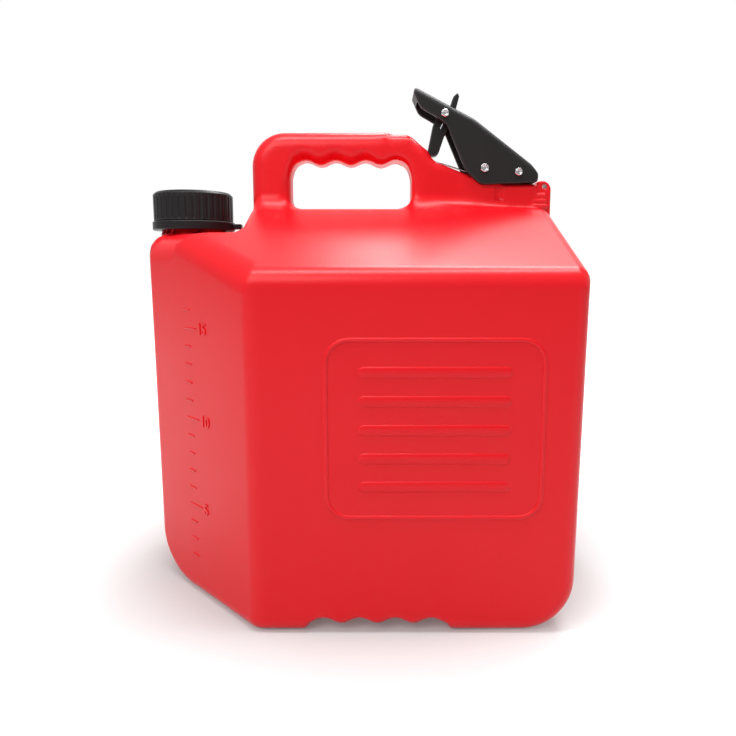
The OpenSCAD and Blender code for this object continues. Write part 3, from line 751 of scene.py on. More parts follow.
@mirrored
def tank_field(q):
    """Walls and roof, blended into handle and ridge, with the small forms added and cut."""
    body = walls_and_roof(q)
    body = carve(body, near(q, ((-80, -9, -20), (100, 200, 40)), grip_channel), 3.5)
    x, y = q[:, 0], q[:, 1]
    blend = 9.0 + 5.0 * np.maximum(ease(y, 8, 17), ease(x, 36, 50)) - 8.0 * ease(x, 70, 132)
    body = merge(body, near(q, ((-150, -9, 250), (200, 60, 420)), handle_and_ridge), blend)
    body = merge(body, near(q, ((70, -9, 290), (122, 40, 380)), pivot_boss), 1.5)
    body = carve(body, drill(q, (109, RIDGE_H + 3.2, 0), 2, FLUTE_R, 313, 1, 2.0), 1.2)
    body = merge(body, near(q, ((110, -9, 260), (180, 40, 360)), tie_down_ear), 2.2)
    body = merge(body, disc(q, SPOUT, 0, BOSS_R, RIGHT - 6, RIGHT + 2, 0.8), 1.0)
    body = merge(body, near(q, ((-200, -9, 250), (-90, 60, 340)), filler_neck), 1.2)
    body = carve(body, drill(q, (NECK_X, 0, 0), 2, NECK_BORE, 272, 1, 1.0), 0.8)
    body = carve(body, drill(q, (ROD_X, 0, 0), 2, ROD_BORE, 298, 1, 0.5), 0.5)
    long, wide = SLOT_HALF
    slot = join(slab(q, 0, PIVOT[0] - long, PIVOT[0] + long), slab(q, 1, -wide, wide), 0.5)
    return carve(body, join(slot, plane(q, (0, 0, PIVOT[2] - 9), DOWN), 0.5), 0.5)


TANK_GRID = (
    grid_lines(LEFT - 4.1, TANK_HI[0] + 3, 3.3, [(78, TANK_HI[0] + 3, 1.35)]),
    grid_lines(-HALF_W - 4.3, HALF_W + 4.3, 3.3, [(-20.3, 20.3, 1.07)]),
    grid_lines(-4.2, HANDLE_Z + 4, 3.3, [(-4.2, 16, 1.7), (298, 334, 1.15)]))
field_piece("tank_shell", tank_field, TANK_GRID, "can", "tank_red", ["tank"], 15.0)

# %% [markdown]
# ## Raised marks on the moulding
# Front and back carry a plain raised frame with five bars, and the slanted panel in front has a
# level scale in litres. They are far finer than the tank's own grid, so each is a thin bead laid
# on the wall: one rounded outline, moved out step by step while its height follows an arc.

# %% Beads on a wall
SUNK = 0.5


def grid_quads(rings, count, closed):
    """Rows of four point numbers between neighbouring rings of count points each. A closed grid
    also joins its last ring to its first."""
    i, j = np.meshgrid(np.arange(rings if closed else rings - 1), np.arange(count), indexing="ij")
    up, on = (i + 1) % rings, (j + 1) % count
    quads = np.stack([i * count + j, i * count + on, up * count + on, up * count + j], -1)
    return quads.reshape(-1, 4)


def bead(middle, half, corner, section, place):
    """Rings of a rounded rectangle, moved out by d and lifted by h for each (d, h) of a closed
    section; place turns the wall's own (u, w, h) into points."""
    rings = []
    for d, h in section:
        a, b, r = half[0] + d, half[1] + d, corner + d
        flat = rounded([(-a, -b, r), (a, -b, r), (a, b, r), (-a, b, r)], 15.0)
        rings.append(place(middle[0] + flat[:, 0], middle[1] + flat[:, 1], h))
    return np.vstack(rings), grid_quads(len(rings), len(rings[0]), True)


def arc_section(wide, high, sweep):
    """(wide cos a, high sin a) for a from 0 to sweep degrees, closed SUNK under the wall. A
    sweep of 180 gives a line with its own inner side, one of 90 a solid bar."""
    a = np.radians(np.linspace(0, sweep, 9))
    least = 0.02 if sweep == 90 else -wide
    top = np.column_stack([np.maximum(wide * np.cos(a), least), high * np.sin(a)])
    return np.vstack([top, [(top[-1, 0], -SUNK), (top[0, 0], -SUNK)]])


def together(parts):
    """Several (points, faces) pairs as one."""
    starts = np.cumsum([0] + [len(points) for points, _ in parts])
    return (np.vstack([points for points, _ in parts]),
            np.vstack([faces + start for (_, faces), start in zip(parts, starts)]))


frame_line, bar_line = arc_section(1.6, 1.0, 180), arc_section(4.0, 1.0, 90)
tick_line = arc_section(0.9, 0.7, 90)
print("points across a frame line:", len(frame_line))


# %% Frames and bars
def wall_front(u, w, h):
    """A point u along the front wall and w up, h in front of it."""
    return np.column_stack([u, 0 * u - HALF_W - h, w])


def wall_back(u, w, h):
    """A point on the back wall."""
    return np.column_stack([u, 0 * u + HALF_W + h, w])


FRAME_MID, FRAME_HALF, FRAME_R = (46.0, 148.0), (74.0, 62.0), 16.0
BAR_HALF, BAR_GAP = 48.0, 20.0
marks = []
for wall in (wall_front, wall_back):
    marks.append(bead(FRAME_MID, FRAME_HALF, FRAME_R, frame_line, wall))
    for row in range(-2, 3):
        middle = (FRAME_MID[0], FRAME_MID[1] + BAR_GAP * row)
        marks.append(bead(middle, (BAR_HALF, 0.0), 0.0, bar_line, wall))
make_piece("raised_frames", *together(marks), "can", "tank_red", edge_r=1.2)

# %% Level scale
LITRE_MM, EMPTY_Z, SCALE_U, LONG_TICKS = 13.9, 4, 84.0, (5, 10, 15)


def wall_panel(u, w, h):
    """A point u along the slanted panel from its front edge, w up, h in front of it."""
    return np.column_stack([PANEL_X - (u + h) / math.sqrt(2), -HALF_W + (u - h) / math.sqrt(2), w])


ticks = []
for litres in range(2, 17):
    long = 8.0 if litres in LONG_TICKS else 4.0
    middle = (SCALE_U - long, EMPTY_Z + LITRE_MM * litres)
    ticks.append(bead(middle, (long, 0.0), 0.0, tick_line, wall_panel))
make_piece("level_ticks", *together(ticks), "can", "tank_red", edge_r=0.6)

# %% Numbers on the scale
NUMBER_SIZE, NUMBER_U = 12.0, SCALE_U - 20


def number_faces(litres, size):
    """A number as raised text: points (x, y, height) in mm and three-cornered faces."""
    curve = bpy.data.curves.new("number", "FONT")
    curve.body, curve.size, curve.extrude, curve.bevel_depth = str(litres), size, 0.5, 0.2
    curve.resolution_u, curve.align_y = 4, "CENTER"
    holder = bpy.data.objects.new("number", curve)
    bpy.context.scene.collection.objects.link(holder)
    solid = holder.evaluated_get(bpy.context.evaluated_depsgraph_get())
    mesh = bpy.data.meshes.new_from_object(solid)
    mesh.calc_loop_triangles()
    points = np.empty(len(mesh.vertices) * 3, np.float32)
    faces = np.empty(len(mesh.loop_triangles) * 3, np.int32)
    mesh.vertices.foreach_get("co", points)
    mesh.loop_triangles.foreach_get("vertices", faces)
    bpy.data.objects.remove(holder)
    bpy.data.curves.remove(curve)
    bpy.data.meshes.remove(mesh)
    return points.reshape(-1, 3), faces.reshape(-1, 3)


numbers = []
for litres in LONG_TICKS:
    flat, faces = number_faces(litres, NUMBER_SIZE)
    u, w = NUMBER_U - flat[:, 0], EMPTY_Z + LITRE_MM * litres + flat[:, 1]
    numbers.append((wall_panel(u, w, flat[:, 2]), faces))
make_piece("level_numbers", *together(numbers), "can", "tank_red", edge_r=0.4)

# %% [markdown]
# ## Filler cap and lock ring
# The cap is turned work: one profile carried round an axis. Its 36 grip ribs are not modelled
# one by one; the radius is pressed in by a wave of the angle, with flat tops, that fades out
# before the rims. The lock ring has a thumb tab, so it isn't round, and comes from a field.

# %% Turn a profile round an axis
def fine(line, longest):
    """An open line of points with no step longer than longest."""
    parts = [a + (b - a) * np.linspace(0, 1, max(1, math.ceil(np.linalg.norm(b - a) / longest)),
                                       endpoint=False)[:, None] for a, b in zip(line, line[1:])]
    return np.vstack(parts + [line[-1:]])


def turned(profile, at, axis, count, press=None):
    """Points (r cos a, r sin a, h) for each (r, h) of a profile and each of count angles a. A
    profile that ends on the axis closes there, any other one closes on itself."""
    p = np.asarray(profile, float)
    if (p[:, 0] * np.roll(p[:, 1], -1) - np.roll(p[:, 0], -1) * p[:, 1]).sum() < 0:
        p = p[::-1]
    a = np.linspace(0, 2 * np.pi, count, endpoint=False)
    r, h = p[:, :1] + 0 * a, p[:, 1:] + 0 * a
    if press is not None:
        r = r - press(r, h, a)
    local = np.stack([r * np.cos(a), r * np.sin(a), h], -1)
    points = np.roll(local, (axis + 1) % 3, -1).reshape(-1, 3) + np.asarray(at, float)
    closed = max(p[0, 0], p[-1, 0]) > 1e-6
    return points, grid_quads(len(p), count, closed)


step_line = fine(np.array([(0.0, 0.0), (10.0, 0.0)]), 3.0)
print("a 10 mm line in steps of at most 3 mm:", step_line[:, 0].round(2))

# %% Ribbed cap
CAP_LO, CAP_HI = box_mm("fill_cap")
CAP_R, CAP_RIBS, RIB_DEEP, RIB_POINTS = (CAP_HI[0] - CAP_LO[0]) / 2, 36, 0.65, 20
CAP_LINE = rounded([
    (0, 314.1, 0), (26.3, 314.1, 0.6), (26.3, CAP_LO[2], 0.3), (CAP_R, CAP_LO[2], 0.5),
    (CAP_R, CAP_HI[2] - 2.2, 1.2), (CAP_R - 2.6, CAP_HI[2], 1.4), (CAP_R - 5.6, CAP_HI[2], 0.5),
    (CAP_R - 6.2, CAP_HI[2] - 0.6, 0.5), (0, CAP_HI[2] - 0.6, 0)], 12.0)


def rib_press(r, h, a):
    """Grooves where -cos(n a) is above zero, soft-sided, on the outer wall between the rims."""
    wave = ease(-np.cos(CAP_RIBS * a), 0.0, 1.0)
    wall = (r > CAP_R - 0.4) * ease(h, CAP_LO[2] + 0.8, CAP_LO[2] + 1.7)
    return RIB_DEEP * wave * wall * (1 - ease(h, CAP_HI[2] - 4.6, CAP_HI[2] - 3.2))


cap = turned(fine(CAP_LINE, 1.1), (NECK_X, 0, 0), 2, CAP_RIBS * RIB_POINTS, rib_press)
make_piece("filler_cap", *cap, "cap", "cap_black", ["fill_cap"], edge_r=0.7)

# %% Lock ring with its tab
RING_R, RING_BORE, RING_Z = 34.0, 26.1, (288.3, 295.7)
TAB_X, TAB_HALF, TAB_Z = (NECK_X + 26, NECK_X + 40.8), 4.6, (289.8, 294.1)


@mirrored
def lock_ring_field(q):
    """A flat ring round the neck and a rounded tab that points at the handle."""
    ring = disc(q, (NECK_X, 0, 0), 2, RING_R, *RING_Z, 1.1)
    tab = join(slab(q, 0, *TAB_X), slab(q, 1, -TAB_HALF, TAB_HALF), 1.5)
    ring = merge(ring, join(tab, slab(q, 2, *TAB_Z), 0.7), 1.2)
    return carve(ring, bar(q, (NECK_X, 0, 0), 2, RING_BORE), 0.5)


ring_grid = even_grid((NECK_X - 36, -36, 287.3), (NECK_X + 43, 36, 296.7), (0.9, 0.9, 0.45))
field_piece("filler_lock_ring", lock_ring_field, ring_grid, "can", "cap_black", ["lock_ring"], 1.0)

# %% [markdown]
# ## Trigger and safety latch
# The trigger is a channel bent from one outline: two walls, a roof with soft edges, open below
# and at the thumb end. The safety latch stands between its walls and pokes through a slot in
# the roof. Both are cut from side outlines, the way their moulds would be drawn.

# %% Trigger
TRIGGER_W, TRIGGER_WALL, SLOT_W, KNEE_R, HOOD_R = 28.0, 3.0, 11.2, 40.0, 6.0
THUMB, KNEE, HEEL = np.array([38.3, 404.6]), np.array([87.3, 379.4]), np.array([134.6, 343.9])
TRIGGER_LINE = rounded([
    (*THUMB, 2.5), (*KNEE, KNEE_R), (*HEEL, 9), (141.2, 334.5, 6), (140.6, 327.6, 2.5),
    (93.5, 325.6, 9), (80.8, 336.4, 10), (64.5, 373.5, 8), (55.5, 380.0, 10), (42.6, 387.2, 10),
    (36.9, 399.5, 2.5)])
HOLLOW_LINE = rounded([
    (42, 399.2, 2), (86.4, 376.3, 30), (132.6, 341.6, 6), (138, 333.8, 4), (138, 300, 0),
    (20, 300, 0)])
TIP_SLOT = rounded([(51.5, 420, 0), (79.5, 420, 0), (79.5, 360, 0), (51.5, 370, 0)])


def upward(a, b):
    """The direction square to a line from a to b, on its upper side, in the side view."""
    return np.array([a[1] - b[1], 0, b[0] - a[0]])


@mirrored
def trigger_field(q):
    """Outline, roof edges rounded to HOOD_R, then the hollow and the slot cut out."""
    knee = (KNEE[0], 0, KNEE[1])
    roof = join(plane(q, knee, upward(THUMB, KNEE)), plane(q, knee, upward(KNEE, HEEL)), KNEE_R)
    hood = join(roof, plane(q, (0, TRIGGER_W / 2, 0), (0, 1, 0)), HOOD_R)
    lever = join(within(q, TRIGGER_LINE), hood, 0.8)
    half = TRIGGER_W / 2 - TRIGGER_WALL
    lever = carve(lever, join(within(q, HOLLOW_LINE), slab(q, 1, -half, half), 3.0), 0.7)
    slot = join(within(q, TIP_SLOT), slab(q, 1, -SLOT_W / 2, SLOT_W / 2), 1.0)
    return carve(lever, slot, 0.6)


trigger_grid = even_grid((34, -15, 322), (144, 15, 408), (0.85, 0.75, 0.85))
field_piece("thumb_trigger", trigger_field, trigger_grid, "trigger", "trigger_black",
            ["trigger_lever"], 1.2)

# %% Safety latch
LATCH_T, LATCH_BORE = 10.0, 2.05
LATCH_LINE = rounded([
    (74.0, 401.3, 0.7), (75.4, 398.4, 1.5), (72.9, 388.5, 4), (70.8, 377.5, 8), (63.4, 366.4, 12),
    (58.0, 350.2, 4.2), (49.2, 350.8, 4.2), (54.0, 375.6, 14), (58.4, 386.6, 6), (67.3, 386.9, 3),
    (69.0, 393.5, 3), (70.6, 398.2, 2)])


@mirrored
def latch_field(q):
    """The outline made LATCH_T thick, with the pivot hole."""
    lever = join(within(q, LATCH_LINE), slab(q, 1, -LATCH_T / 2, LATCH_T / 2), 0.9)
    return carve(lever, bar(q, LATCH, 1, LATCH_BORE), 0.3)


latch_grid = even_grid((47, -6, 348), (79, 6, 403), (0.6, 0.5, 0.6))
field_piece("safety_latch", latch_field, latch_grid, "latch", "trigger_black", ["latch_lever"], 1.0)

# %% [markdown]
# ## Screws, nuts and springs
# Three bright screws cross the trigger: six-sided heads with a round dish in front, nuts behind.
# They are small, but light catches them first, so the turned corners and the dishes are real
# form. The springs are round wire carried along a path: a leg, a coil round the pivot, a leg.

# %% Six-sided forms
HEAD_H = 2.4


def ball(p, at, radius):
    """Distance from a centre, less the radius."""
    return around(p - np.asarray(at, float), radius)


def six_sides(p, x, z, across):
    """Hexagon along Y: three slabs turned by 60 degrees."""
    hexagon = None
    for turn in (0.0, math.pi / 3, 2 * math.pi / 3):
        way = np.array([math.cos(turn), 0, math.sin(turn)])
        off = (p - np.array([x, 0, z])) @ way
        pair = (np.abs(off) - across / 2, np.where(off < 0, -1.0, 1.0)[:, None] * way)
        hexagon = pair if hexagon is None else join(hexagon, pair, 0.12)
    return hexagon


def screw_field(x, z, shank, head, seat_y, end_y):
    """Six-sided head, its corners turned off by a ball, a round dish in it and the shank."""
    at, top = (x, 0, z), seat_y - HEAD_H

    def field(p):
        block = join(six_sides(p, x, z, head * 0.875), slab(p, 1, top, seat_y), 0.25)
        block = join(block, ball(p, (x, seat_y + 0.6, z), head * 0.575), 0.3)
        block = carve(block, drill(p, at, 1, head * 0.27, top + 1.3, -1, 0.7), 0.25)
        return merge(block, disc(p, at, 1, shank / 2, seat_y - 0.2, end_y, 0.4), 0.05)
    return field


def nut_field(x, z, bore, across, low_y, high_y):
    """A hexagon whose corners are turned off by a large ball, with its bore."""
    def field(p):
        body = join(six_sides(p, x, z, across), slab(p, 1, low_y, high_y), 0.12)
        body = join(body, ball(p, (x, (low_y + high_y) / 2, z), across * 0.615), 0.2)
        return carve(body, bar(p, (x, 0, z), 1, bore / 2), 0.2)
    return field


print("screw heads are", HEAD_H, "mm high")

# %% Screws and nuts
SCREWS = [("pivot", 5.0, 7.6, 8.0, 0.3, "can"), ("rod", 4.0, 7.0, 7.0, 0.05, "trigger"),
          ("latch", 4.0, 7.0, 7.0, 0.05, "trigger")]
for name, shank, head, across, gap, body in SCREWS:
    lo, hi = box_mm(name + "_screw")
    x, z = (lo[0] + hi[0]) / 2, (lo[2] + hi[2]) / 2
    seat_y = -TRIGGER_W / 2 - gap
    along = grid_lines(lo[1] - 1, hi[1] + 1, 1.2, [(lo[1] - 1, seat_y + 1, 0.3)])
    grid = (grid_lines(x - 5, x + 5, 0.33), along, grid_lines(z - 5, z + 5, 0.33))
    field_piece(name + "_hex_screw", screw_field(x, z, shank, head, seat_y, hi[1]), grid, body,
                "screw_steel", [name + "_screw"], 0.5)
    lo, hi = box_mm(name + "_nut")
    grid = even_grid((x - 6, lo[1] - 1, z - 6), (x + 6, hi[1] + 1, z + 6), (0.4, 0.4, 0.4))
    field_piece(name + "_hex_nut", nut_field(x, z, shank + 0.1, across, lo[1], hi[1]), grid, body,
                "screw_steel", [name + "_nut"], 0.5)


# %% Spring wire
def wire(path, radius, sides=12):
    """A round wire along a path: circles square to it, closed to a point at both ends."""
    ways = np.gradient(path, axis=0)
    ways /= np.linalg.norm(ways, axis=1)[:, None]
    first = np.cross(ways, (0.0, 1.0, 0.0))
    first /= np.linalg.norm(first, axis=1)[:, None]
    second = np.cross(first, ways)
    path = np.vstack([path[:1], path, path[-1:]])
    first, second = [np.vstack([v[:1], v, v[-1:]]) for v in (first, second)]
    size = np.full(len(path), radius)
    size[[0, -1]] = 0.0
    a = np.linspace(0, 2 * np.pi, sides, endpoint=False)
    ring = np.cos(a)[None, :, None] * second[:, None] + np.sin(a)[None, :, None] * first[:, None]
    points = (path[:, None] + size[:, None, None] * ring).reshape(-1, 3)
    return points, grid_quads(len(path), sides, False)


def coil(at, radius, start, turns, low_y, high_y, count):
    """Points round a pivot along Y: the angle and the place along Y grow evenly together."""
    t = np.linspace(0, 1, count)
    a = np.radians(start + 360 * turns * t)
    return np.column_stack([at[0] + radius * np.cos(a), low_y + (high_y - low_y) * t,
                            at[2] + radius * np.sin(a)])


def smoothed(path, rounds):
    """Each round cuts every corner at a quarter and three quarters of its two sides."""
    for _ in range(rounds):
        a, b = path[:-1], path[1:]
        cut = np.stack([0.75 * a + 0.25 * b, 0.25 * a + 0.75 * b], 1).reshape(-1, 3)
        path = np.vstack([path[:1], cut, path[-1:]])
    return path


print("a corner after one round:", smoothed(np.eye(3), 1).round(2).tolist())

# %% Return spring and latch spring
RETURN_R, LATCH_WIRE_R = 0.6, 0.4
return_path = np.vstack([
    [(46.5, 0, 348.4), (58, 0, 345.7), (64, -0.6, 344.0), (80, -2.4, 338.6)],
    coil(PIVOT, 5.6, 262, 3.52, -3.1, 3.1, 100),
    [(90.6, 3.1, 351), (88.4, 3.1, 361), (86, 3.1, 371), (84.6, 3.1, 375.2)]])
latch_path = np.vstack([
    [(59.4, -10.1, 371.2), (61.6, -10.1, 375.4)],
    coil(LATCH, 3.2, 300, 2.9, -10.1, -6.2, 80),
    [(70.4, -6.2, 379.6), (76.4, -6.2, 376.6)]])
return_wire = make_piece("return_spring_wire", *wire(smoothed(return_path, 1), RETURN_R), None,
                         "spring_steel", ["return_spring"])
latch_wire = make_piece("latch_spring_wire", *wire(smoothed(latch_path, 1), LATCH_WIRE_R), None,
                        "spring_steel", ["latch_spring"])
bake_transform(return_wire)
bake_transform(latch_wire)

# %% [markdown]
# ## Outlet, swivel elbow, hose and spout tip
# The spout hangs on the hidden end: a flanged outlet, an elbow that swivels on it, a ribbed hose
# and a slim tip. Hose and tip are turned profiles. The outlet and the elbow have passages that
# cross their axis, and the swivel cap has two key holes, so these three come from fields.

# %% Outlet
OUT_LO, OUT_HI = box_mm("outlet_body")
OUT_Z, FLANGE_X = SPOUT[2], RIGHT + 4.0
CUP_R, FLANGE_R, SPIGOT_R, CUP_BORE, SPIGOT_BORE, SEAT_BORE = 22.5, 29.0, 13.0, 16.0, 9.0, 7.0


def outlet_field(p):
    """Valve cup, flange and spigot on one axis, with the passages cut."""
    axis = (0, 0, OUT_Z)
    cup = disc(p, axis, 0, CUP_R, OUT_LO[0], FLANGE_X + 1, 1.0)
    flange = disc(p, axis, 0, FLANGE_R, FLANGE_X, FLANGE_X + 2.4, 0.7)
    spigot = disc(p, axis, 0, SPIGOT_R, FLANGE_X, OUT_HI[0], 0.6)
    body = merge(merge(cup, flange, 0.5), spigot, 0.6)
    body = carve(body, disc(p, axis, 0, CUP_BORE, OUT_LO[0] + 3, FLANGE_X, 1.0), 0.5)
    body = carve(body, disc(p, axis, 0, SPIGOT_BORE, FLANGE_X - 2, 171, 0.8), 0.5)
    seat = join(slab(p, 0, OUT_LO[0] - 9, RIGHT - 5.5), plane(p, (0, 0, OUT_Z + 19), DOWN), 0.3)
    body = carve(body, seat, 0.4)
    return carve(body, drill(p, (ROD_X, 0, 0), 2, SEAT_BORE, OUT_Z, 1, 0.3), 0.6)


outlet_grid = (grid_lines(OUT_LO[0] - 2, OUT_HI[0] + 2, 1.3, [(FLANGE_X - 2, FLANGE_X + 5, 0.6)]),
               grid_lines(-31, 31, 1.3), grid_lines(OUT_Z - 31, OUT_Z + 31, 1.3))
field_piece("outlet_fitting", outlet_field, outlet_grid, "can", "cap_black", ["outlet_body"], 1.2)

# %% Swivel cap
BUTTON_R, STUB_R, KEY_R, KEY_Y = 17.0, 5.0, 2.0, 9


@mirrored
def swivel_cap_field(q):
    """A round button with a softened rim, a stub into the spigot and two key holes."""
    button = disc(q, (0, 0, OUT_Z), 0, BUTTON_R, 178.7, 184.0, 1.6)
    body = merge(button, disc(q, (0, 0, OUT_Z), 0, STUB_R, 173, 180, 0.6), 0.4)
    return carve(body, drill(q, (0, KEY_Y, OUT_Z), 0, KEY_R, 181, 1, 0.2), 0.4)


swivel_grid = even_grid((172, -18, OUT_Z - 18), (185, 18, OUT_Z + 18), (0.6, 0.75, 0.75))
field_piece("swivel_button", swivel_cap_field, swivel_grid, "can", "cap_black", ["swivel_cap"], 1.2)

# %% Swivel elbow
ELBOW_LO, ELBOW_HI = box_mm("swivel_elbow")
ELBOW_R, RISER_R, STEM_R, ELBOW_BORE, RISER_BORE = 19.0, 10.7, 10.0, 13.05, 7.0


def elbow_field(p):
    """Collar and riser, two round bars joined over a fillet, with their bores."""
    axis, up = (0, 0, OUT_Z), (SPOUT[0], 0, 0)
    collar = disc(p, axis, 0, ELBOW_R, ELBOW_LO[0], ELBOW_HI[0], 1.2)
    riser = disc(p, up, 2, RISER_R, OUT_Z, OUT_Z + 38, 0.5)
    stem = disc(p, up, 2, STEM_R, OUT_Z, ELBOW_HI[2], 0.8)
    body = merge(merge(collar, riser, 3.0), stem, 0.2)
    body = carve(body, bar(p, axis, 0, ELBOW_BORE), 0.4)
    return carve(body, drill(p, up, 2, RISER_BORE, OUT_Z + 5, 1, 0.3), 0.5)


elbow_grid = even_grid((ELBOW_LO[0] - 2, -21, OUT_Z - 21), (ELBOW_HI[0] + 2, 21, ELBOW_HI[2] + 2),
                       (0.9, 0.9, 0.9))
field_piece("spout_elbow", elbow_field, elbow_grid, "spout", "cap_black", ["swivel_elbow"], 1.2)

# %% Ribbed hose
HOSE_LO, HOSE_HI = box_mm("flex_hose")
HOSE_R, HOSE_BORE, HOSE_RIBS, RIB_H, CUFF = (HOSE_HI[0] - HOSE_LO[0]) / 2, 10.1, 15, 3.0, 6.0
RIB_STEP = (HOSE_HI[2] - HOSE_LO[2] - 2 * CUFF) / HOSE_RIBS


def hose_line():
    """Outside up and inside down. Between the cuffs the outside is a row of round ribs,
    r = root + height * sqrt(|sin(pi t)|); the bore is straight."""
    low, high, root, cuff = HOSE_LO[2], HOSE_HI[2], HOSE_R - RIB_H, HOSE_R - 2.2
    z = np.linspace(low + CUFF, high - CUFF, HOSE_RIBS * 14 + 1)
    t = (z - z[0]) / RIB_STEP
    ribs = np.column_stack([root + RIB_H * np.sqrt(np.abs(np.sin(np.pi * t))), z])
    rim = [(HOSE_BORE, 0), (cuff - 0.5, 0), (cuff, 0.5), (cuff, 5.0), (cuff - 0.5, 5.5)]
    foot, head = [(r, low + h) for r, h in rim], [(r, high - h) for r, h in rim[::-1]]
    return np.vstack([foot, ribs, head])


hose = turned(hose_line(), (SPOUT[0], 0, 0), 2, 72)
make_piece("spout_hose", *hose, "spout", "hose_black", ["flex_hose"], edge_r=1.2)

# %% Spout tip
TIP_HI, TIP_Z, TIP_FOOT = box_mm("nozzle")[1], HOSE_HI[2] + 0.1, 176
TIP_LINE = rounded([
    (7.2, TIP_FOOT, 0.4), (9.5, TIP_FOOT, 0.4), (10, TIP_FOOT + 2, 0.4), (10, TIP_Z, 0.3),
    (14.6, TIP_Z, 0.6), (14.6, TIP_Z + 8, 1.0), (12.4, TIP_Z + 11, 0.8), (12.4, TIP_Z + 18, 1.0),
    (10.25, TIP_Z + 24, 1.5), (10.25, TIP_HI[2] - 1.2, 0.8), (9.05, TIP_HI[2], 0.6),
    (7.2, TIP_HI[2], 0.5)], 12.0)
TIP_FLUTES, FLUTE_DEEP = 24, 0.5


def tip_grip(r, h, a):
    """Shallow grip flutes round the flange of the tip: depth times (1 - cos(n a)) / 2."""
    flutes = FLUTE_DEEP * (0.5 - 0.5 * np.cos(TIP_FLUTES * a)) * (r > 14.2)
    return flutes * ease(h, TIP_Z + 0.4, TIP_Z + 1.4) * (1 - ease(h, TIP_Z + 6.4, TIP_Z + 7.6))


tip_closed = np.vstack([TIP_LINE, TIP_LINE[:1]])
tip = turned(fine(tip_closed, 1.6)[:-1], (SPOUT[0], 0, 0), 2, 8 * TIP_FLUTES, tip_grip)
make_piece("spout_tip", *tip, "spout", "cap_black", ["nozzle"], edge_r=1.0)

# %% [markdown]
# ## Pieces that keep their construction
# Seals, the valve, the vent and the pull rod sit inside or under other pieces. Their packed
# shapes are already right, so they only take a finish.

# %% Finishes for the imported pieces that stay
KEPT = {"cap_gasket": "seal_rubber", "outlet_gasket": "seal_rubber", "swivel_seal": "seal_rubber",
        "vent_seat": "seal_rubber", "vent_disc": "seal_rubber", "valve_plug": "seal_rubber",
        "plug_nut": "screw_steel", "rod_eye": "screw_steel", "pull_rod": "spring_steel"}
for node, slot in KEPT.items():
    bpy.data.objects[node].data.materials.clear()
    bpy.data.objects[node].data.materials.append(FINISH[slot])
print("kept with new finishes:", sorted(KEPT))

# %% [markdown]
# ## Light and floor
# A can on a white table in a bright room. A narrow strip lamp overhead draws the pale line
# along the shoulder and in the fillets, a high window behind gives the sheen on the roof, and a
# wide soft lamp, high in front on the left, gives the front its full colour. The room is white
# where the camera looks, and the floor has a share of its own light, so both stay white while
# the real shadow of the can stays on the floor. Close round the can that share of light is
# smaller, which paints a darker soft shadow round its foot.

# %% White floor with a soft shadow, painted darker round the can
FLOOR_HALF, FLOOR_GAP, FLOOR_GREY = 8000.0, 0.2, 0.55
# The floor's own light is weaker in an oval round the can: a painted soft shadow round its foot.
GLOW_AND_SHADOW_OVAL, GLOW_AND_PAINTED_SHADOW_STEPS = (0.8, 1.0, 0.0), ((0.12, 0.60, 0.14, 0.24), (0.0, 0.40, 0.24, 0.90))


def seen_rays(tree):
    """1 for rays from the camera, and for the ones that gloss or glass sends on; else 0."""
    ray = add_node(tree, "ShaderNodeLightPath").outputs
    first = maths(tree, "MAXIMUM", ray["Is Camera Ray"], ray["Is Glossy Ray"])
    return maths(tree, "MAXIMUM", first, ray["Is Transmission Ray"])


def white_floor():
    """A matt pale plane with a share of its own light, which only seen rays get. The share
    grows with the length of (0.8 x, y), an oval round the can, so the far floor is white, and
    it is small close to the can, which paints a soft shadow round its foot."""
    made, tree, shader = blank_finish("white_floor")
    shader.inputs["Base Color"].default_value = (FLOOR_GREY, FLOOR_GREY, FLOOR_GREY, 1)
    shader.inputs["Roughness"].default_value = 0.9
    shader.inputs["Specular IOR Level"].default_value = 0.1
    place = add_node(tree, "ShaderNodeTexCoord")
    oval = add_node(tree, "ShaderNodeMapping", {"Scale": GLOW_AND_SHADOW_OVAL})
    far = add_node(tree, "ShaderNodeVectorMath", operation="LENGTH")
    tree.links.new(place.outputs["Object"], oval.inputs["Vector"])
    tree.links.new(oval.outputs["Vector"], far.inputs[0])
    # The first ramp keeps the floor's own light low close to the can: painted shadow round its
    # foot.
    painted_shadow_ramp, wide = [spread(tree, far.outputs["Value"], *step) for step in GLOW_AND_PAINTED_SHADOW_STEPS]
    share = maths(tree, "MULTIPLY", seen_rays(tree), maths(tree, "ADD", painted_shadow_ramp, wide))
    glow = add_node(tree, "ShaderNodeEmission")
    both = add_node(tree, "ShaderNodeAddShader")
    tree.links.new(share, glow.inputs["Strength"])
    tree.links.new(shader.outputs["BSDF"], both.inputs[0])
    tree.links.new(glow.outputs["Emission"], both.inputs[1])
    tree.links.new(both.outputs["Shader"], tree.nodes["Material Output"].inputs["Surface"])
    return made


corners = np.array([[-1, -1, 0], [1, -1, 0], [1, 1, 0], [-1, 1, 0]]) * FLOOR_HALF
floor_mesh = bpy.data.meshes.new("floor")
floor_mesh.from_pydata(((corners - [0, 0, FLOOR_GAP]) * MM).tolist(), [], [(0, 1, 2, 3)])
floor_mesh.materials.append(white_floor())
floor = bpy.data.objects.new("floor", floor_mesh)
bpy.context.scene.collection.objects.link(floor)
print("floor, m across:", 2 * FLOOR_HALF * MM)

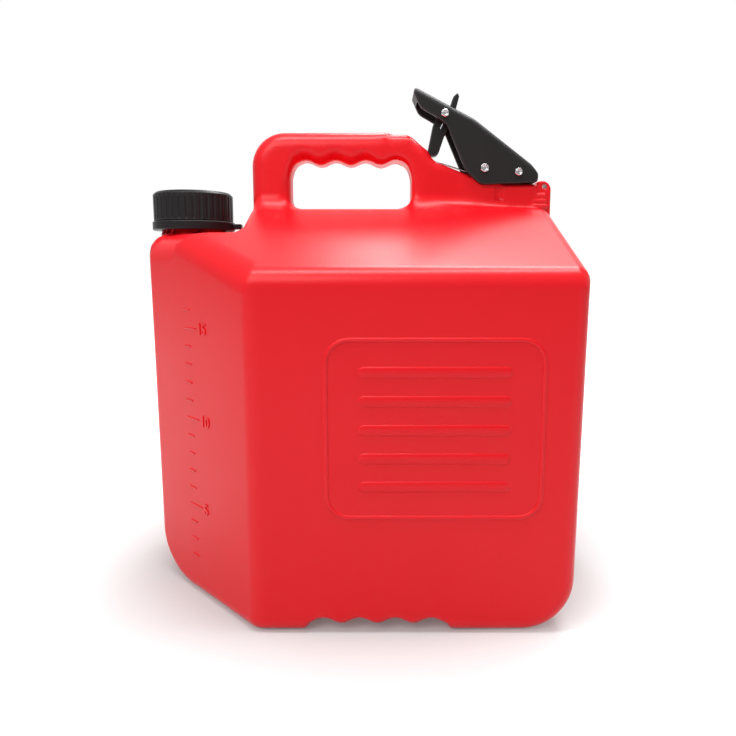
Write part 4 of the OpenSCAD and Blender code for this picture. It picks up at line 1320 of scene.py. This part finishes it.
# %% World and lamps
LEAN, LEAN_STEP, BACK_STEP = (0.0, 0.45, 0.75), (-0.35, 0.45), (0.35, 0.75)


def bright_room(quiet, bright):
    """White to the camera, and to gloss and glass where they look at the backdrop. Its light on
    the can grows from quiet, in front and below, to bright, above and behind: it follows
    0.45 y + 0.75 z of the direction."""
    world = bpy.data.worlds.new("bright_room")
    bpy.context.scene.world = world
    world.use_nodes = True
    tree = world.node_tree
    back = tree.nodes["Background"]
    place = add_node(tree, "ShaderNodeTexCoord").outputs["Generated"]
    lean = add_node(tree, "ShaderNodeVectorMath", {1: LEAN}, operation="DOT_PRODUCT")
    along = add_node(tree, "ShaderNodeSeparateXYZ")
    tree.links.new(place, lean.inputs[0])
    tree.links.new(place, along.inputs[0])
    room = spread(tree, lean.outputs["Value"], quiet, bright, *LEAN_STEP)
    behind = spread(tree, along.outputs["Y"], 0.0, 1.0, *BACK_STEP)
    camera_ray = add_node(tree, "ShaderNodeLightPath").outputs["Is Camera Ray"]
    white = maths(tree, "MAXIMUM", camera_ray, behind)
    seen = maths(tree, "MULTIPLY", seen_rays(tree), white)
    tree.links.new(maths(tree, "MAXIMUM", seen, room), back.inputs["Strength"])
    back.inputs["Color"].default_value = (1, 1, 1, 1)


def softbox(name, at, aim, wide, deep, level):
    """A flat rectangular lamp at a place, facing a point. Its power is level * pi * area, so
    level is how bright it looks."""
    data = bpy.data.lights.new(name, "AREA")
    data.shape, data.size, data.size_y = "RECTANGLE", wide * MM, deep * MM
    data.energy = level * math.pi * wide * deep * MM * MM
    lamp = bpy.data.objects.new(name, data)
    bpy.context.scene.collection.objects.link(lamp)
    lamp.location = Vector(at) * MM
    lamp.rotation_euler = (Vector(aim) - Vector(at)).to_track_quat("-Z", "Y").to_euler()


bright_room(0.40, 0.48)
softbox("strip_above", (40, -250, 1560), (0, -120, 255), 1300, 220, 18.0)
softbox("back_window", (400, 640, 1560), (0, -100, 270), 1150, 300, 16.0)
softbox("front_fill", (-700, -1350, 1450), (0, -50, 150), 1300, 900, 4.2)
bpy.context.scene.view_settings.view_transform = "Standard"
